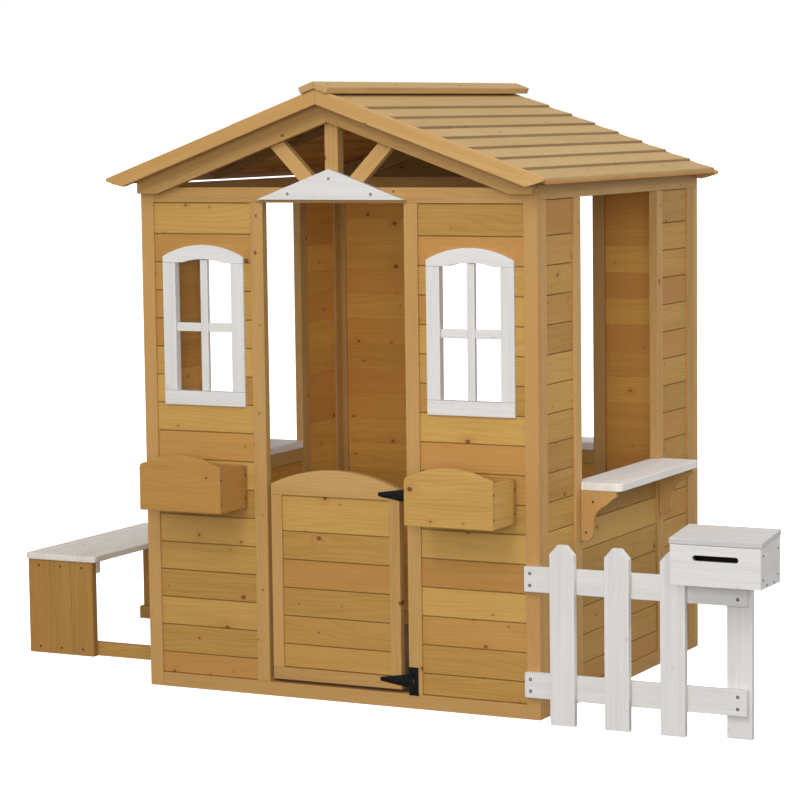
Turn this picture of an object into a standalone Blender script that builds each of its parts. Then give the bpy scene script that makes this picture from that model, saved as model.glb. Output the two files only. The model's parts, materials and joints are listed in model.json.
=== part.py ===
"""Timber garden playhouse: gabled house with half door, windows, counters, bench, fence and mailbox.

Metres, +Z up. The front wall faces -Y and the bench stands on the -X side. The frame's origin is the centre
of the whole object's footprint, on the ground. Every piece is placed in house coordinates, which start on the
ground at the middle of the front wall's outer face, and hangs under the empty "house_origin".
"""

import math

import bmesh
import bpy
from mathutils import Matrix, Vector

# ---------------------------------------------------------------- driving dimensions
GAP = 0.0003                  # clearance between pieces that touch

HOUSE_X = -0.02325            # house coordinates' origin, seen from the centre of the footprint
HOUSE_Y = -0.4665

HALF_WIDTH = 0.5              # front wall, outside, from the centre line
DEPTH = 0.955                 # front wall's outer face to rear wall's outer face
STOCK = 0.033                 # width of the framing timber
FRAME_THICK = 0.020           # thickness of the framing timber
BOARD_THICK = 0.009           # infill boards
BOARD_SETBACK = 0.005         # infill boards behind the frame's outer face
BOARD_PITCH = 0.065           # visible height of one infill board
GROOVE_TOP = 1.0564           # uppermost V-groove
GROOVE_WIDTH = 0.0044
GROOVE_DEPTH = 0.0022
DOOR_GROOVE_TOP = 0.383
DOOR_GROOVES = 5

DOORWAY_HALF = 0.1785
FRONT_TOP = 1.163             # top of the front and rear walls
FRONT_HEAD = 1.1285           # underside of their top rails
RAIL = 0.0325                 # height of their bottom rails
SIDE_TOP = 1.169              # top of the side walls
SIDE_HEAD = 1.136

OPENING_FRONT = 0.236         # side wall opening, distances from the panel's reference end
OPENING_REAR = 0.690
SIDE_JAMB = 0.036
FRONT_STILE_END = 0.050
REAR_STILE_START = 0.890
REAR_OPENING_HALF = 0.230
REAR_JAMB = 0.032

SILL_TOP = 0.4797             # rail under each counter
COUNTER_THICK = 0.018
COUNTER_OUT = 0.098           # overhang outside the wall
COUNTER_CORNER = 0.018

WINDOW_X = 0.338              # window and flower box centre line
WINDOW_HALF = 0.1065
WINDOW_BOTTOM = 0.663
WINDOW_SPRING = 1.005
WINDOW_CROWN = 1.032
CASING_PROUD = 0.001

SLOPE = 0.358                 # roof rise per metre
DECK_UNDER = 1.355            # height of the roof's underside at the ridge
DECK_EAVE = 0.545
PLANK_PITCH = 0.0626
PLANKS = 8
LAP_HIGH = 0.0250             # plank surface above the underside, at its lower edge
LAP_LOW = 0.0165              # and where the next plank covers it
DECK_FRONT = -0.0527
BARGE_TOP = 1.381
BARGE_BOTTOM = 1.347
BARGE_TIP = 0.548             # foot of the bargeboards: plumb end, then back to the underside
BARGE_TIP_BOTTOM = 1.178
BARGE_HEEL = (0.5175, 1.169)
BARGE_THROAT = 0.505
BARGE_FRONT_Y = (-0.073, -0.053)
BARGE_THICK = 0.020
BARGE_REAR_DROP = 0.009       # the rear pair sits lower, below the planks' surface
RAFTER_BOTTOM = 1.3076
RAFTER_FOOT = 1.1485
RAFTER_END = 0.4975
PANEL_SETBACK = 0.005         # rear gable's panel behind its border, on both faces
CAP_Y = (-0.080, 0.987)
CAP_TOP = 1.3975
CAP_HALF = 0.0375
CAP_THICK = 0.015

STRUT_LEAN = 46.0             # gable struts, degrees from level
STRUT_BASE = 0.0461           # where the strut's centre line meets the top rail
POST_REAR = 0.028
PLATE_HALF = 0.1875           # white triangle over the doorway
PLATE_HEIGHTS = (1.1354, 1.2045)
PLATE_FRONT = -0.0145

HINGE_X = 0.187               # door hinge axis
HINGE_Y = -0.004
HINGE_HEIGHTS = {"lower": 0.0625, "upper": 0.480}
KNUCKLE_RADIUS = 0.0035
KNUCKLE_HALF = 0.0052         # middle knuckle, half its height
HINGE_HALF = 0.014            # all three knuckles, half their height
HINGE_SHEET = 0.002
STRAP_TIP = (0.107, 0.004)
STRAP_ROOT = (0.178, 0.015)
HINGE_PLATE_X = (0.179, 0.2025)
HINGE_PLATE_HALF = 0.032
HINGE_NOTCH = 0.1912
DOOR_LEFT = -0.1687
DOOR_RIGHT = 0.1592
DOOR_BOTTOM = 0.041
DOOR_SPRING = 0.491
DOOR_CROWN = 0.527
DOOR_HEAD = 0.4665            # underside of the leaf's arched top rail
DOOR_STILE = 0.027
DOOR_RAIL = 0.028

SEAT_X = (-1.006, -0.800)     # bench
SEAT_Y = (0.227, 0.791)
SEAT_Z = (0.235, 0.250)
LEG_X = (-0.999, -0.811)
LEG_FACES = (0.233, 0.785)
CLEAT_DEPTH = 0.018
CLEAT_BOTTOM = 0.205

FENCE_BOARD = 0.015
PICKET_X = {"1": (0.536, 0.594), "2": (0.664, 0.721), "3": (0.792, 0.849)}
PICKET_SHOULDER = 0.374
PICKET_TOP = 0.395
PICKET_TIP_HALF = 0.010
FENCE_RAIL_X = (0.469, 0.981)
FENCE_RAILS = {"bottom": (0.052, 0.108), "top": (0.286, 0.3415)}
POST_X = (0.931, 0.988)
POST_TOP = 0.430

BOX_DEPTH = 0.120             # flower boxes and mailbox, front to back
BOX_WALL = 0.012
BOX_BOTTOM = 0.432
BOX_RIM = 0.530
BOX_CREST = 0.562
MAIL_X = (0.850, 1.050)
MAIL_BOTTOM = 0.342
MAIL_TOP_FRONT = 0.4277
MAIL_TOP_REAR = 0.4423
LID_THICK = 0.012
LID_LENGTH = 0.119
LID_SIDE = 0.0025             # lid wider than the box on each side
SLOT_X = (0.906, 0.995)       # centres of the slot's round ends
SLOT_Z = 0.401
SLOT_RADIUS = 0.006

# ---------------------------------------------------------------- scene and materials
for leftover in list(bpy.data.objects):
    bpy.data.objects.remove(leftover, do_unlink=True)

parts = bpy.data.collections.new("garden_playhouse")
cutters = bpy.data.collections.new("cutters")
bpy.context.scene.collection.children.link(parts)
bpy.context.scene.collection.children.link(cutters)


def material(name, colour, roughness, metallic=0.0):
    mat = bpy.data.materials.new(name)
    mat.use_nodes = True
    shader = mat.node_tree.nodes["Principled BSDF"]
    shader.inputs["Base Color"].default_value = (*colour, 1.0)
    shader.inputs["Roughness"].default_value = roughness
    shader.inputs["Metallic"].default_value = metallic
    mat.diffuse_color = (*colour, 1.0)
    return mat


STAINED = material("stained_timber", (0.47, 0.25, 0.08), 0.62)
ROOFING = material("roof_timber", (0.52, 0.34, 0.17), 0.70)
WHITE = material("white_timber", (0.72, 0.70, 0.66), 0.55)
WHITEWASH = material("whitewashed_timber", (0.61, 0.50, 0.40), 0.60)
STEEL = material("black_steel", (0.02, 0.02, 0.022), 0.45, 0.6)


def empty(name, location, parent=None):
    obj = bpy.data.objects.new(name, None)
    obj.empty_display_size = 0.05
    parts.objects.link(obj)
    obj.location = location
    obj.parent = parent
    return obj


house = empty("house_origin", (HOUSE_X, HOUSE_Y, 0.0))
door_axis = empty("door_hinge_axis", (HINGE_X, HINGE_Y, 0.0), house)
lid_axis = empty("mailbox_lid_axis", (MAIL_X[0], -GAP, MAIL_TOP_REAR + GAP), house)


# ---------------------------------------------------------------- shape helpers
def add(name, mesh, mat, location=(0.0, 0.0, 0.0), parent=house, collection=parts):
    """Link a mesh object whose location is given in house coordinates."""
    obj = bpy.data.objects.new(name, mesh)
    collection.objects.link(obj)
    mesh.materials.append(mat)
    obj.parent = parent
    shift = Vector((0.0, 0.0, 0.0)) if parent == house else parent.location
    obj.location = Vector(location) - shift
    return obj


PLANES = {                    # extrusion axis: rotation that lays a 2D curve across it
    "x": Matrix(((0, 0, 1), (1, 0, 0), (0, 1, 0))),
    "y": Matrix(((1, 0, 0), (0, 0, -1), (0, 1, 0))),
    "z": Matrix.Identity(3),
}


def outline_mesh(name, outlines, axis, low, high):
    """Mesh of a flat outline (first loop, then holes) extruded along an axis from low to high."""
    curve = bpy.data.curves.new(name, "CURVE")
    curve.dimensions = "2D"
    curve.fill_mode = "BOTH"
    curve.extrude = (high - low) / 2
    for points in outlines:
        spline = curve.splines.new("POLY")
        spline.points.add(len(points) - 1)
        for point, (u, v) in zip(spline.points, points):
            point.co = (u, v, 0.0, 1.0)
        spline.use_cyclic_u = True
    guide = bpy.data.objects.new(name, curve)
    cutters.objects.link(guide)
    bpy.context.view_layer.update()
    mesh = bpy.data.meshes.new_from_object(guide.evaluated_get(bpy.context.evaluated_depsgraph_get()))
    bpy.data.objects.remove(guide)
    bpy.data.curves.remove(curve)
    shape = bmesh.new()
    shape.from_mesh(mesh)
    bmesh.ops.remove_doubles(shape, verts=shape.verts, dist=0.00001)
    shape.transform(PLANES[axis].to_4x4())
    middle = {"x": 0, "y": 1, "z": 2}[axis]
    offset = Vector((0.0, 0.0, 0.0))
    offset[middle] = (low + high) / 2
    bmesh.ops.translate(shape, verts=shape.verts, vec=offset)
    bmesh.ops.recalc_face_normals(shape, faces=shape.faces)
    shape.to_mesh(mesh)
    shape.free()
    mesh.name = name
    return mesh


def recentre(mesh):
    """Move a mesh so that its box is centred on its own origin, and return where that centre was."""
    corners = [vertex.co.copy() for vertex in mesh.vertices]
    low = Vector(min(corner[i] for corner in corners) for i in range(3))
    high = Vector(max(corner[i] for corner in corners) for i in range(3))
    centre = (low + high) / 2
    mesh.transform(Matrix.Translation(-centre))
    return centre


def plate(name, outlines, axis, low, high, mat, parent=house):
    """A flat piece cut to an outline, at its place in the house."""
    mesh = outline_mesh(name, outlines, axis, low, high)
    return add(name, mesh, mat, recentre(mesh), parent)


def block_mesh(name, x, y, z):
    mesh = bpy.data.meshes.new(name)
    shape = bmesh.new()
    bmesh.ops.create_cube(shape, size=1.0)
    bmesh.ops.scale(shape, vec=(x[1] - x[0], y[1] - y[0], z[1] - z[0]), verts=shape.verts)
    shape.to_mesh(mesh)
    shape.free()
    return mesh


def middle_of(x, y, z):
    return (sum(x) / 2, sum(y) / 2, sum(z) / 2)


def board(name, x, y, z, mat):
    """A plain rectangular piece between two corners."""
    return add(name, block_mesh(name, x, y, z), mat, middle_of(x, y, z))


def cutter_object(mesh, location, parent=house):
    obj = add("cutter_" + mesh.name, mesh, WHITE, location, parent, cutters)
    obj.hide_render = True
    obj.display_type = "WIRE"
    return obj


def box_cutter(name, x, y, z, parent=house):
    return cutter_object(block_mesh(name, x, y, z), middle_of(x, y, z), parent)


def outline_cutter(name, outlines, axis, low, high, parent=house):
    mesh = outline_mesh(name, outlines, axis, low, high)
    return cutter_object(mesh, recentre(mesh), parent)


def boolean(obj, other, operation):
    modifier = obj.modifiers.new(operation.lower(), "BOOLEAN")
    modifier.operation = operation
    modifier.solver = "EXACT"
    modifier.object = other


def rectangle(left, right, bottom, top):
    return [(left, bottom), (right, bottom), (right, top), (left, top)]


def arc(left, right, spring, crown, steps=12):
    """Points of a shallow arch from its right end to its left end."""
    half = (right - left) / 2
    rise = crown - spring
    radius = (half * half + rise * rise) / (2 * rise)
    middle = (left + right) / 2
    sweep = math.asin(half / radius)
    points = []
    for step in range(steps + 1):
        angle = sweep * (1 - 2 * step / steps)
        points.append((middle + radius * math.sin(angle), crown - radius + radius * math.cos(angle)))
    return points


def arched(left, right, bottom, spring, crown, steps=12):
    return [(left, bottom), (right, bottom)] + arc(left, right, spring, crown, steps)


def circle(centre_u, centre_v, radius, steps=20):
    turn = [2 * math.pi * step / steps for step in range(steps)]
    return [(centre_u + radius * math.cos(a), centre_v + radius * math.sin(a)) for a in turn]


def corner(centre_u, centre_v, radius, start, steps=5):
    """Quarter circle of a rounded corner, starting at an angle in degrees."""
    turn = [math.radians(start + 90 * step / steps) for step in range(steps + 1)]
    return [(centre_u + radius * math.cos(a), centre_v + radius * math.sin(a)) for a in turn]


def grooved_section(face, back, bottom, top):
    """Cross-section of boards joined edge to edge, with V-grooves in the face side.

    face and back are the two distances from the wall's reference plane. The result runs (distance, height).
    """
    outward = 1 if face > back else -1
    points = [(back, bottom), (back, top), (face, top)]
    level = GROOVE_TOP
    while level > bottom + GROOVE_WIDTH:
        if level < top - GROOVE_WIDTH:
            points.append((face, level + GROOVE_WIDTH / 2))
            points.append((face - outward * GROOVE_DEPTH, level))
            points.append((face, level - GROOVE_WIDTH / 2))
        level -= BOARD_PITCH
    points.append((face, bottom))
    return points


def window_outline(inset):
    """Arched outline about the window's centre line, moved inwards all round."""
    shrink = inset * 0.64     # the arch's head is cut lower than the sides' inset
    return arched(-WINDOW_HALF + inset, WINDOW_HALF - inset, WINDOW_BOTTOM + inset,
                  WINDOW_SPRING - shrink, WINDOW_CROWN - inset)


def moved(points, du, dv=0.0):
    return [(u + du, v + dv) for u, v in points]


# ---------------------------------------------------------------- front wall
def front_wall():
    inner = HALF_WIDTH - STOCK
    jamb = DOORWAY_HALF + STOCK
    plate("front_wall_frame",
          [rectangle(-HALF_WIDTH, HALF_WIDTH, 0.0, FRONT_TOP),
           rectangle(-inner, -jamb, RAIL, FRONT_HEAD),
           rectangle(-DOORWAY_HALF, DOORWAY_HALF, RAIL, FRONT_HEAD),
           rectangle(jamb, inner, RAIL, FRONT_HEAD)],
          "y", 0.0, FRAME_THICK, STAINED)
    section = grooved_section(BOARD_SETBACK, BOARD_SETBACK + BOARD_THICK, RAIL + GAP, FRONT_HEAD - GAP)
    for side, sign in (("left", -1), ("right", 1)):
        ends = sorted((sign * (jamb + GAP), sign * (inner - GAP)))
        panel = plate("front_cladding_" + side, [section], "x", ends[0], ends[1], STAINED)
        hole = moved(window_outline(-GAP), sign * WINDOW_X)
        boolean(panel, outline_cutter("window_" + side, [hole], "y", -0.03, 0.05), "DIFFERENCE")


def windows():
    bar = 0.0095
    inside = STOCK + GAP
    low = WINDOW_BOTTOM + inside
    high = WINDOW_CROWN - inside - 0.0006
    cross = [(-bar, low), (bar, low), (bar, 0.833), (WINDOW_HALF - inside, 0.833),
             (WINDOW_HALF - inside, 0.853), (bar, 0.853), (bar, high), (-bar, high), (-bar, 0.853),
             (-WINDOW_HALF + inside, 0.853), (-WINDOW_HALF + inside, 0.833), (-bar, 0.833)]
    for side, centre in (("left", -WINDOW_X), ("right", WINDOW_X)):
        casing = [moved(window_outline(0.0), centre), moved(window_outline(STOCK), centre)]
        plate("window_casing_" + side, casing, "y", -CASING_PROUD, FRAME_THICK - CASING_PROUD, WHITE)
        plate("window_bars_" + side, [moved(cross, centre)], "y", 0.004, 0.014, WHITE)


# ---------------------------------------------------------------- side and rear walls
def side_wall(side, sign, turn):
    """One side panel. turn gives the y position of a distance measured along the right-hand panel."""
    outside = sign * HALF_WIDTH
    inside = sign * (HALF_WIDTH - FRAME_THICK)
    low, high = sorted((outside, inside))
    front_end = FRAME_THICK + GAP
    rear_end = DEPTH - FRAME_THICK - GAP
    start, end = OPENING_FRONT, OPENING_REAR

    def bay(first, last, bottom, top):
        left, right = sorted((turn(first), turn(last)))
        return rectangle(left, right, bottom, top)

    sill = SILL_TOP - STOCK
    plate(side + "_wall_frame",
          [rectangle(front_end, rear_end, 0.0, SIDE_TOP),
           bay(FRONT_STILE_END, start - SIDE_JAMB, STOCK, SIDE_HEAD),
           bay(start, end, SILL_TOP, SIDE_HEAD),
           bay(start, end, STOCK, sill),
           bay(end + SIDE_JAMB, REAR_STILE_START, STOCK, SIDE_HEAD)],
          "x", low, high, STAINED)
    face = outside - sign * BOARD_SETBACK
    back = face - sign * BOARD_THICK
    bays = {"front": (FRONT_STILE_END, start - SIDE_JAMB, SIDE_HEAD),
            "rear": (end + SIDE_JAMB, REAR_STILE_START, SIDE_HEAD),
            "lower": (start, end, sill)}
    flipped = turn(0.0) > turn(1.0)
    for place, (first, last, top) in bays.items():
        ends = sorted((turn(first), turn(last)))
        name = {"front": "rear", "rear": "front"}.get(place, place) if flipped else place
        section = grooved_section(face, back, STOCK + GAP, top - GAP)
        plate(side + "_cladding_" + name, [section], "y", ends[0] + GAP, ends[1] - GAP, STAINED)


def counter(name, placed, first, last, tongue_first, tongue_last):
    """A counter through an opening: a tongue between the jambs and a wider shelf outside.

    placed turns (distance along the wall, distance out of the wall) into house x and y.
    """
    near_corner = corner(first + COUNTER_CORNER, COUNTER_OUT - COUNTER_CORNER, COUNTER_CORNER, 90)
    far_corner = corner(last - COUNTER_CORNER, COUNTER_OUT - COUNTER_CORNER, COUNTER_CORNER, 0)
    plan = [(first, GAP), (tongue_first, GAP), (tongue_first, -FRAME_THICK), (tongue_last, -FRAME_THICK),
            (tongue_last, GAP), (last, GAP)] + far_corner + near_corner
    bottom = SILL_TOP + GAP
    plate(name, [[placed(along, away) for along, away in plan]], "z", bottom, bottom + COUNTER_THICK, WHITE)


def side_walls():
    overlap_front = 0.010
    overlap_rear = 0.020
    for side, sign in (("right", 1), ("left", -1)):
        def turn(along, sign=sign):
            return along if sign > 0 else DEPTH - along

        def placed(along, away, sign=sign, turn=turn):
            return (sign * (HALF_WIDTH + away), turn(along))

        side_wall(side, sign, turn)
        counter(side + "_counter", placed, OPENING_FRONT - overlap_front, OPENING_REAR + overlap_rear,
                OPENING_FRONT + GAP, OPENING_REAR - GAP)


def rear_wall():
    inner = HALF_WIDTH - STOCK
    jamb = REAR_OPENING_HALF + REAR_JAMB
    sill = SILL_TOP - STOCK
    plate("rear_wall_frame",
          [rectangle(-HALF_WIDTH, HALF_WIDTH, 0.0, FRONT_TOP),
           rectangle(-inner, -jamb, RAIL, FRONT_HEAD),
           rectangle(jamb, inner, RAIL, FRONT_HEAD),
           rectangle(-REAR_OPENING_HALF, REAR_OPENING_HALF, RAIL, sill),
           rectangle(-REAR_OPENING_HALF, REAR_OPENING_HALF, SILL_TOP, FRONT_HEAD)],
          "y", DEPTH - FRAME_THICK, DEPTH, STAINED)
    face = DEPTH - BOARD_SETBACK
    bays = {"left": (-inner, -jamb, FRONT_HEAD), "right": (jamb, inner, FRONT_HEAD),
            "lower": (-REAR_OPENING_HALF, REAR_OPENING_HALF, sill)}
    for place, (first, last, top) in bays.items():
        section = grooved_section(face, face - BOARD_THICK, RAIL + GAP, top - GAP)
        plate("rear_cladding_" + place, [section], "x", first + GAP, last - GAP, STAINED)
    overlap = 0.015
    counter("rear_counter", lambda along, away: (along, DEPTH + away), -REAR_OPENING_HALF - overlap,
            REAR_OPENING_HALF + overlap, -REAR_OPENING_HALF + GAP, REAR_OPENING_HALF - GAP)


def brackets():
    """Scroll-shaped brackets, flush with the right counter's two ends."""
    scroll = [(0.0, 0.366), (0.010, 0.364), (0.019, 0.366), (0.026, 0.374), (0.029, 0.393), (0.034, 0.423),
              (0.041, 0.434), (0.050, 0.442), (0.0675, 0.4535), (0.079, 0.461), (0.086, 0.4675),
              (0.086, SILL_TOP), (0.0, SILL_TOP)]
    profile = moved(scroll, HALF_WIDTH + GAP)
    plate("right_bracket_front", [profile], "y", 0.226, 0.238, STAINED)
    plate("right_bracket_rear", [profile], "y", 0.698, 0.710, STAINED)


# ---------------------------------------------------------------- roof
def roof_line(top, x):
    return top - SLOPE * abs(x)


def mirrored(points):
    return [(-x, z) for x, z in points]


def both_slopes(name, points, low, high, mat, suffix=""):
    """The same outline on the right slope and, mirrored, on the left one."""
    plate(name + suffix + "_right", [points], "y", low, high, mat)
    plate(name + suffix + "_left", [mirrored(points)], "y", low, high, mat)


def roof_deck():
    joint = GAP / 2
    top = []
    for plank in range(PLANKS):
        low = DECK_EAVE - plank * PLANK_PITCH
        high = low - PLANK_PITCH if plank < PLANKS - 1 else joint
        top.append((low, roof_line(DECK_UNDER + LAP_HIGH, low)))
        top.append((high, roof_line(DECK_UNDER + LAP_LOW, high)))
    section = [(joint, DECK_UNDER), (DECK_EAVE, roof_line(DECK_UNDER, DECK_EAVE))] + top
    both_slopes("roof_deck", section, DECK_FRONT, DEPTH, ROOFING)
    lean = CAP_THICK * SLOPE / math.sqrt(1 + SLOPE * SLOPE)
    drop = CAP_THICK * math.sqrt(1 + SLOPE * SLOPE)
    cap = [(joint, CAP_TOP), (joint, CAP_TOP - drop),
           (CAP_HALF - lean, roof_line(CAP_TOP - drop, CAP_HALF - lean)),
           (CAP_HALF, roof_line(CAP_TOP, CAP_HALF))]
    both_slopes("ridge_cap", cap, *CAP_Y, ROOFING)


def bargeboards():
    joint = GAP / 2
    profile = [(joint, BARGE_TOP), (joint, BARGE_BOTTOM),
               (BARGE_THROAT, roof_line(BARGE_BOTTOM, BARGE_THROAT)), BARGE_HEEL,
               (BARGE_TIP, BARGE_TIP_BOTTOM), (BARGE_TIP, roof_line(BARGE_TOP, BARGE_TIP))]
    both_slopes("bargeboard", profile, *BARGE_FRONT_Y, STAINED, "_front")
    both_slopes("bargeboard", moved(profile, 0.0, -BARGE_REAR_DROP), DEPTH + GAP, DEPTH + GAP + BARGE_THICK,
                STAINED, "_rear")


def rafters():
    joint = GAP / 2
    top = DECK_UNDER - GAP
    foot_x = (RAFTER_BOTTOM - RAFTER_FOOT) / SLOPE
    profile = [(joint, top), (joint, RAFTER_BOTTOM), (foot_x, RAFTER_FOOT), (RAFTER_END, RAFTER_FOOT),
               (RAFTER_END, roof_line(top, RAFTER_END))]
    both_slopes("front_rafter", profile, -FRAME_THICK - GAP, -GAP, STAINED)


def rear_gable():
    """Closed gable on the rear wall: a thinner triangular panel in a border as wide as the rafters."""
    top = DECK_UNDER - GAP
    seat = FRONT_TOP + GAP
    inside, outside = DEPTH - FRAME_THICK, DEPTH
    half = [(RAFTER_END, seat), (RAFTER_END, roof_line(top, RAFTER_END)), (0.0, top)]
    wall = plate("rear_gable", [half + mirrored(half)[1::-1]], "y", inside, outside, STAINED)
    below = 0.010
    reach = (RAFTER_BOTTOM - seat + below) / SLOPE
    panel = [(-reach, seat - below), (reach, seat - below), (0.0, RAFTER_BOTTOM)]
    beyond = 0.010
    boolean(wall, outline_cutter("gable_outside", [panel], "y", outside - PANEL_SETBACK, outside + beyond),
            "DIFFERENCE")
    boolean(wall, outline_cutter("gable_inside", [panel], "y", inside - beyond, inside + PANEL_SETBACK),
            "DIFFERENCE")


def gable():
    seat = FRONT_TOP + GAP
    top = DECK_UNDER - 2 * GAP
    half = STOCK / 2
    shoulder = roof_line(top, half)
    post = [(-half, seat), (half, seat), (half, shoulder), (0.0, top), (-half, shoulder)]
    plate("king_post", [post], "y", GAP, POST_REAR, STAINED)
    lean = math.radians(STRUT_LEAN)
    base = STRUT_BASE
    across = half / math.sin(lean)
    rise = math.tan(lean)
    inner_x = (top + rise * (base - across) - seat) / (rise + SLOPE)
    outer_x = (top + rise * (base + across) - seat) / (rise + SLOPE)
    strut = [(base - across, seat), (base + across, seat), (outer_x, roof_line(top, outer_x)),
             (inner_x, roof_line(top, inner_x))]
    plate("gable_strut_right", [strut], "y", GAP, FRAME_THICK, STAINED)
    plate("gable_strut_left", [mirrored(strut)], "y", GAP, FRAME_THICK, STAINED)
    bottom, peak = PLATE_HEIGHTS
    triangle = [(-PLATE_HALF, bottom), (PLATE_HALF, bottom), (0.0, peak)]
    plate("gable_plate", [triangle], "y", PLATE_FRONT, -GAP, WHITE)


# ---------------------------------------------------------------- half door and hinges
def door():
    left, right = DOOR_LEFT, DOOR_RIGHT
    inner_left = left + DOOR_STILE
    inner_right = right - DOOR_STILE
    low = DOOR_BOTTOM + DOOR_RAIL
    plate("door_frame", [arched(left, right, DOOR_BOTTOM, DOOR_SPRING, DOOR_CROWN, 18),
                         rectangle(inner_left, inner_right, low, DOOR_HEAD)],
          "y", 0.0, FRAME_THICK, STAINED, door_axis)
    top = DOOR_HEAD - GAP
    back = BOARD_SETBACK + BOARD_THICK
    section = [(back, low + GAP), (back, top), (BOARD_SETBACK, top)]
    for groove in range(DOOR_GROOVES):
        level = DOOR_GROOVE_TOP - groove * BOARD_PITCH
        section += [(BOARD_SETBACK, level + GROOVE_WIDTH / 2), (BOARD_SETBACK + GROOVE_DEPTH, level),
                    (BOARD_SETBACK, level - GROOVE_WIDTH / 2)]
    section.append((BOARD_SETBACK, low + GAP))
    plate("door_cladding", [section], "x", inner_left + GAP, inner_right - GAP, STAINED, door_axis)


def hinges():
    """Tee hinges: a tapered strap on the leaf, a plate on the jamb, knuckles on one vertical axis."""
    sheet = (-HINGE_SHEET - GAP, -GAP)
    middle = KNUCKLE_HALF
    tip_x, tip_half = STRAP_TIP
    root_x, root_half = STRAP_ROOT
    for place, height in HINGE_HEIGHTS.items():
        strap = [(tip_x, -tip_half), (root_x, -root_half), (root_x, -middle), (HINGE_X, -middle),
                 (HINGE_X, middle), (root_x, middle), (root_x, root_half), (tip_x, tip_half)]
        leaf_side = plate("hinge_strap_" + place, [moved(strap, 0.0, height)], "y", *sheet, STEEL, door_axis)
        pin = circle(HINGE_X, HINGE_Y, KNUCKLE_RADIUS)
        boolean(leaf_side, outline_cutter("knuckle_strap_" + place, [pin], "z", height - middle,
                                          height + middle, door_axis), "UNION")
        back = rectangle(*HINGE_PLATE_X, -HINGE_PLATE_HALF, HINGE_PLATE_HALF)
        jamb_side = plate("hinge_plate_" + place, [moved(back, 0.0, height)], "y", *sheet, STEEL)
        boolean(jamb_side, outline_cutter("knuckle_plate_" + place, [pin], "z", height - HINGE_HALF,
                                          height + HINGE_HALF), "UNION")
        boolean(jamb_side, box_cutter("notch_" + place, (0.170, HINGE_NOTCH), (-0.012, 0.004),
                                      (height - middle - GAP, height + middle + GAP)), "DIFFERENCE")


# ---------------------------------------------------------------- flower boxes and mailbox
def flower_boxes():
    half = WINDOW_HALF
    rim = BOX_RIM
    front = [(-half, BOX_BOTTOM), (half, BOX_BOTTOM), (half, rim), (0.104, 0.5365), (0.0985, 0.5405)]
    front += arc(-0.090, 0.090, 0.542, BOX_CREST)
    front += [(-0.0985, 0.5405), (-0.104, 0.5365), (-half, rim)]
    for side, centre in (("left", -WINDOW_X), ("right", WINDOW_X)):
        box = plate("flower_box_" + side, [moved(front, centre)], "y", -BOX_DEPTH, -GAP, STAINED)
        inside = (centre - half + BOX_WALL, centre + half - BOX_WALL)
        boolean(box, box_cutter("inside_" + side, inside, (-BOX_DEPTH + BOX_WALL, -BOX_WALL - GAP),
                                (BOX_BOTTOM + BOX_WALL, 0.600)), "DIFFERENCE")
        boolean(box, box_cutter("rim_" + side, (centre - 0.2, centre + 0.2), (-BOX_DEPTH + BOX_WALL, 0.05),
                                (rim, 0.610)), "DIFFERENCE")


def mailbox():
    back = -GAP
    body_side = [(-BOX_DEPTH, MAIL_BOTTOM), (back, MAIL_BOTTOM), (back, MAIL_TOP_REAR),
                 (-BOX_DEPTH, MAIL_TOP_FRONT)]
    body = plate("mailbox_body", [body_side], "x", *MAIL_X, WHITE)
    inside = box_cutter("mailbox_inside", (MAIL_X[0] + BOX_WALL, MAIL_X[1] - BOX_WALL),
                        (-BOX_DEPTH + BOX_WALL, back - BOX_WALL), (MAIL_BOTTOM + BOX_WALL, 0.5))
    boolean(body, inside, "DIFFERENCE")
    radius = SLOT_RADIUS
    slot_left, slot_right = SLOT_X
    slot_z = SLOT_Z
    slot = [(slot_left, slot_z - radius), (slot_right, slot_z - radius)]
    slot += moved(circle(0.0, 0.0, radius, 16)[13:] + circle(0.0, 0.0, radius, 16)[:4], slot_right, slot_z)
    slot += [(slot_right, slot_z + radius), (slot_left, slot_z + radius)]
    slot += moved(circle(0.0, 0.0, radius, 16)[5:12], slot_left, slot_z)
    slot_cut = outline_cutter("mailbox_slot", [slot], "y", -0.15, -BOX_DEPTH + BOX_WALL + 0.01)
    boolean(body, slot_cut, "DIFFERENCE")
    tilt = math.atan2(MAIL_TOP_REAR - MAIL_TOP_FRONT, BOX_DEPTH + back)
    length = LID_LENGTH
    lean = (-math.sin(tilt), math.cos(tilt))
    rear = (back, MAIL_TOP_REAR + GAP)
    front = (rear[0] - length * math.cos(tilt), rear[1] - length * math.sin(tilt))
    lid_side = [front, rear, (rear[0] + LID_THICK * lean[0], rear[1] + LID_THICK * lean[1]),
                (front[0] + LID_THICK * lean[0], front[1] + LID_THICK * lean[1])]
    plate("mailbox_lid", [lid_side], "x", MAIL_X[0] - LID_SIDE, MAIL_X[1] + LID_SIDE, WHITE, lid_axis)


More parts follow.
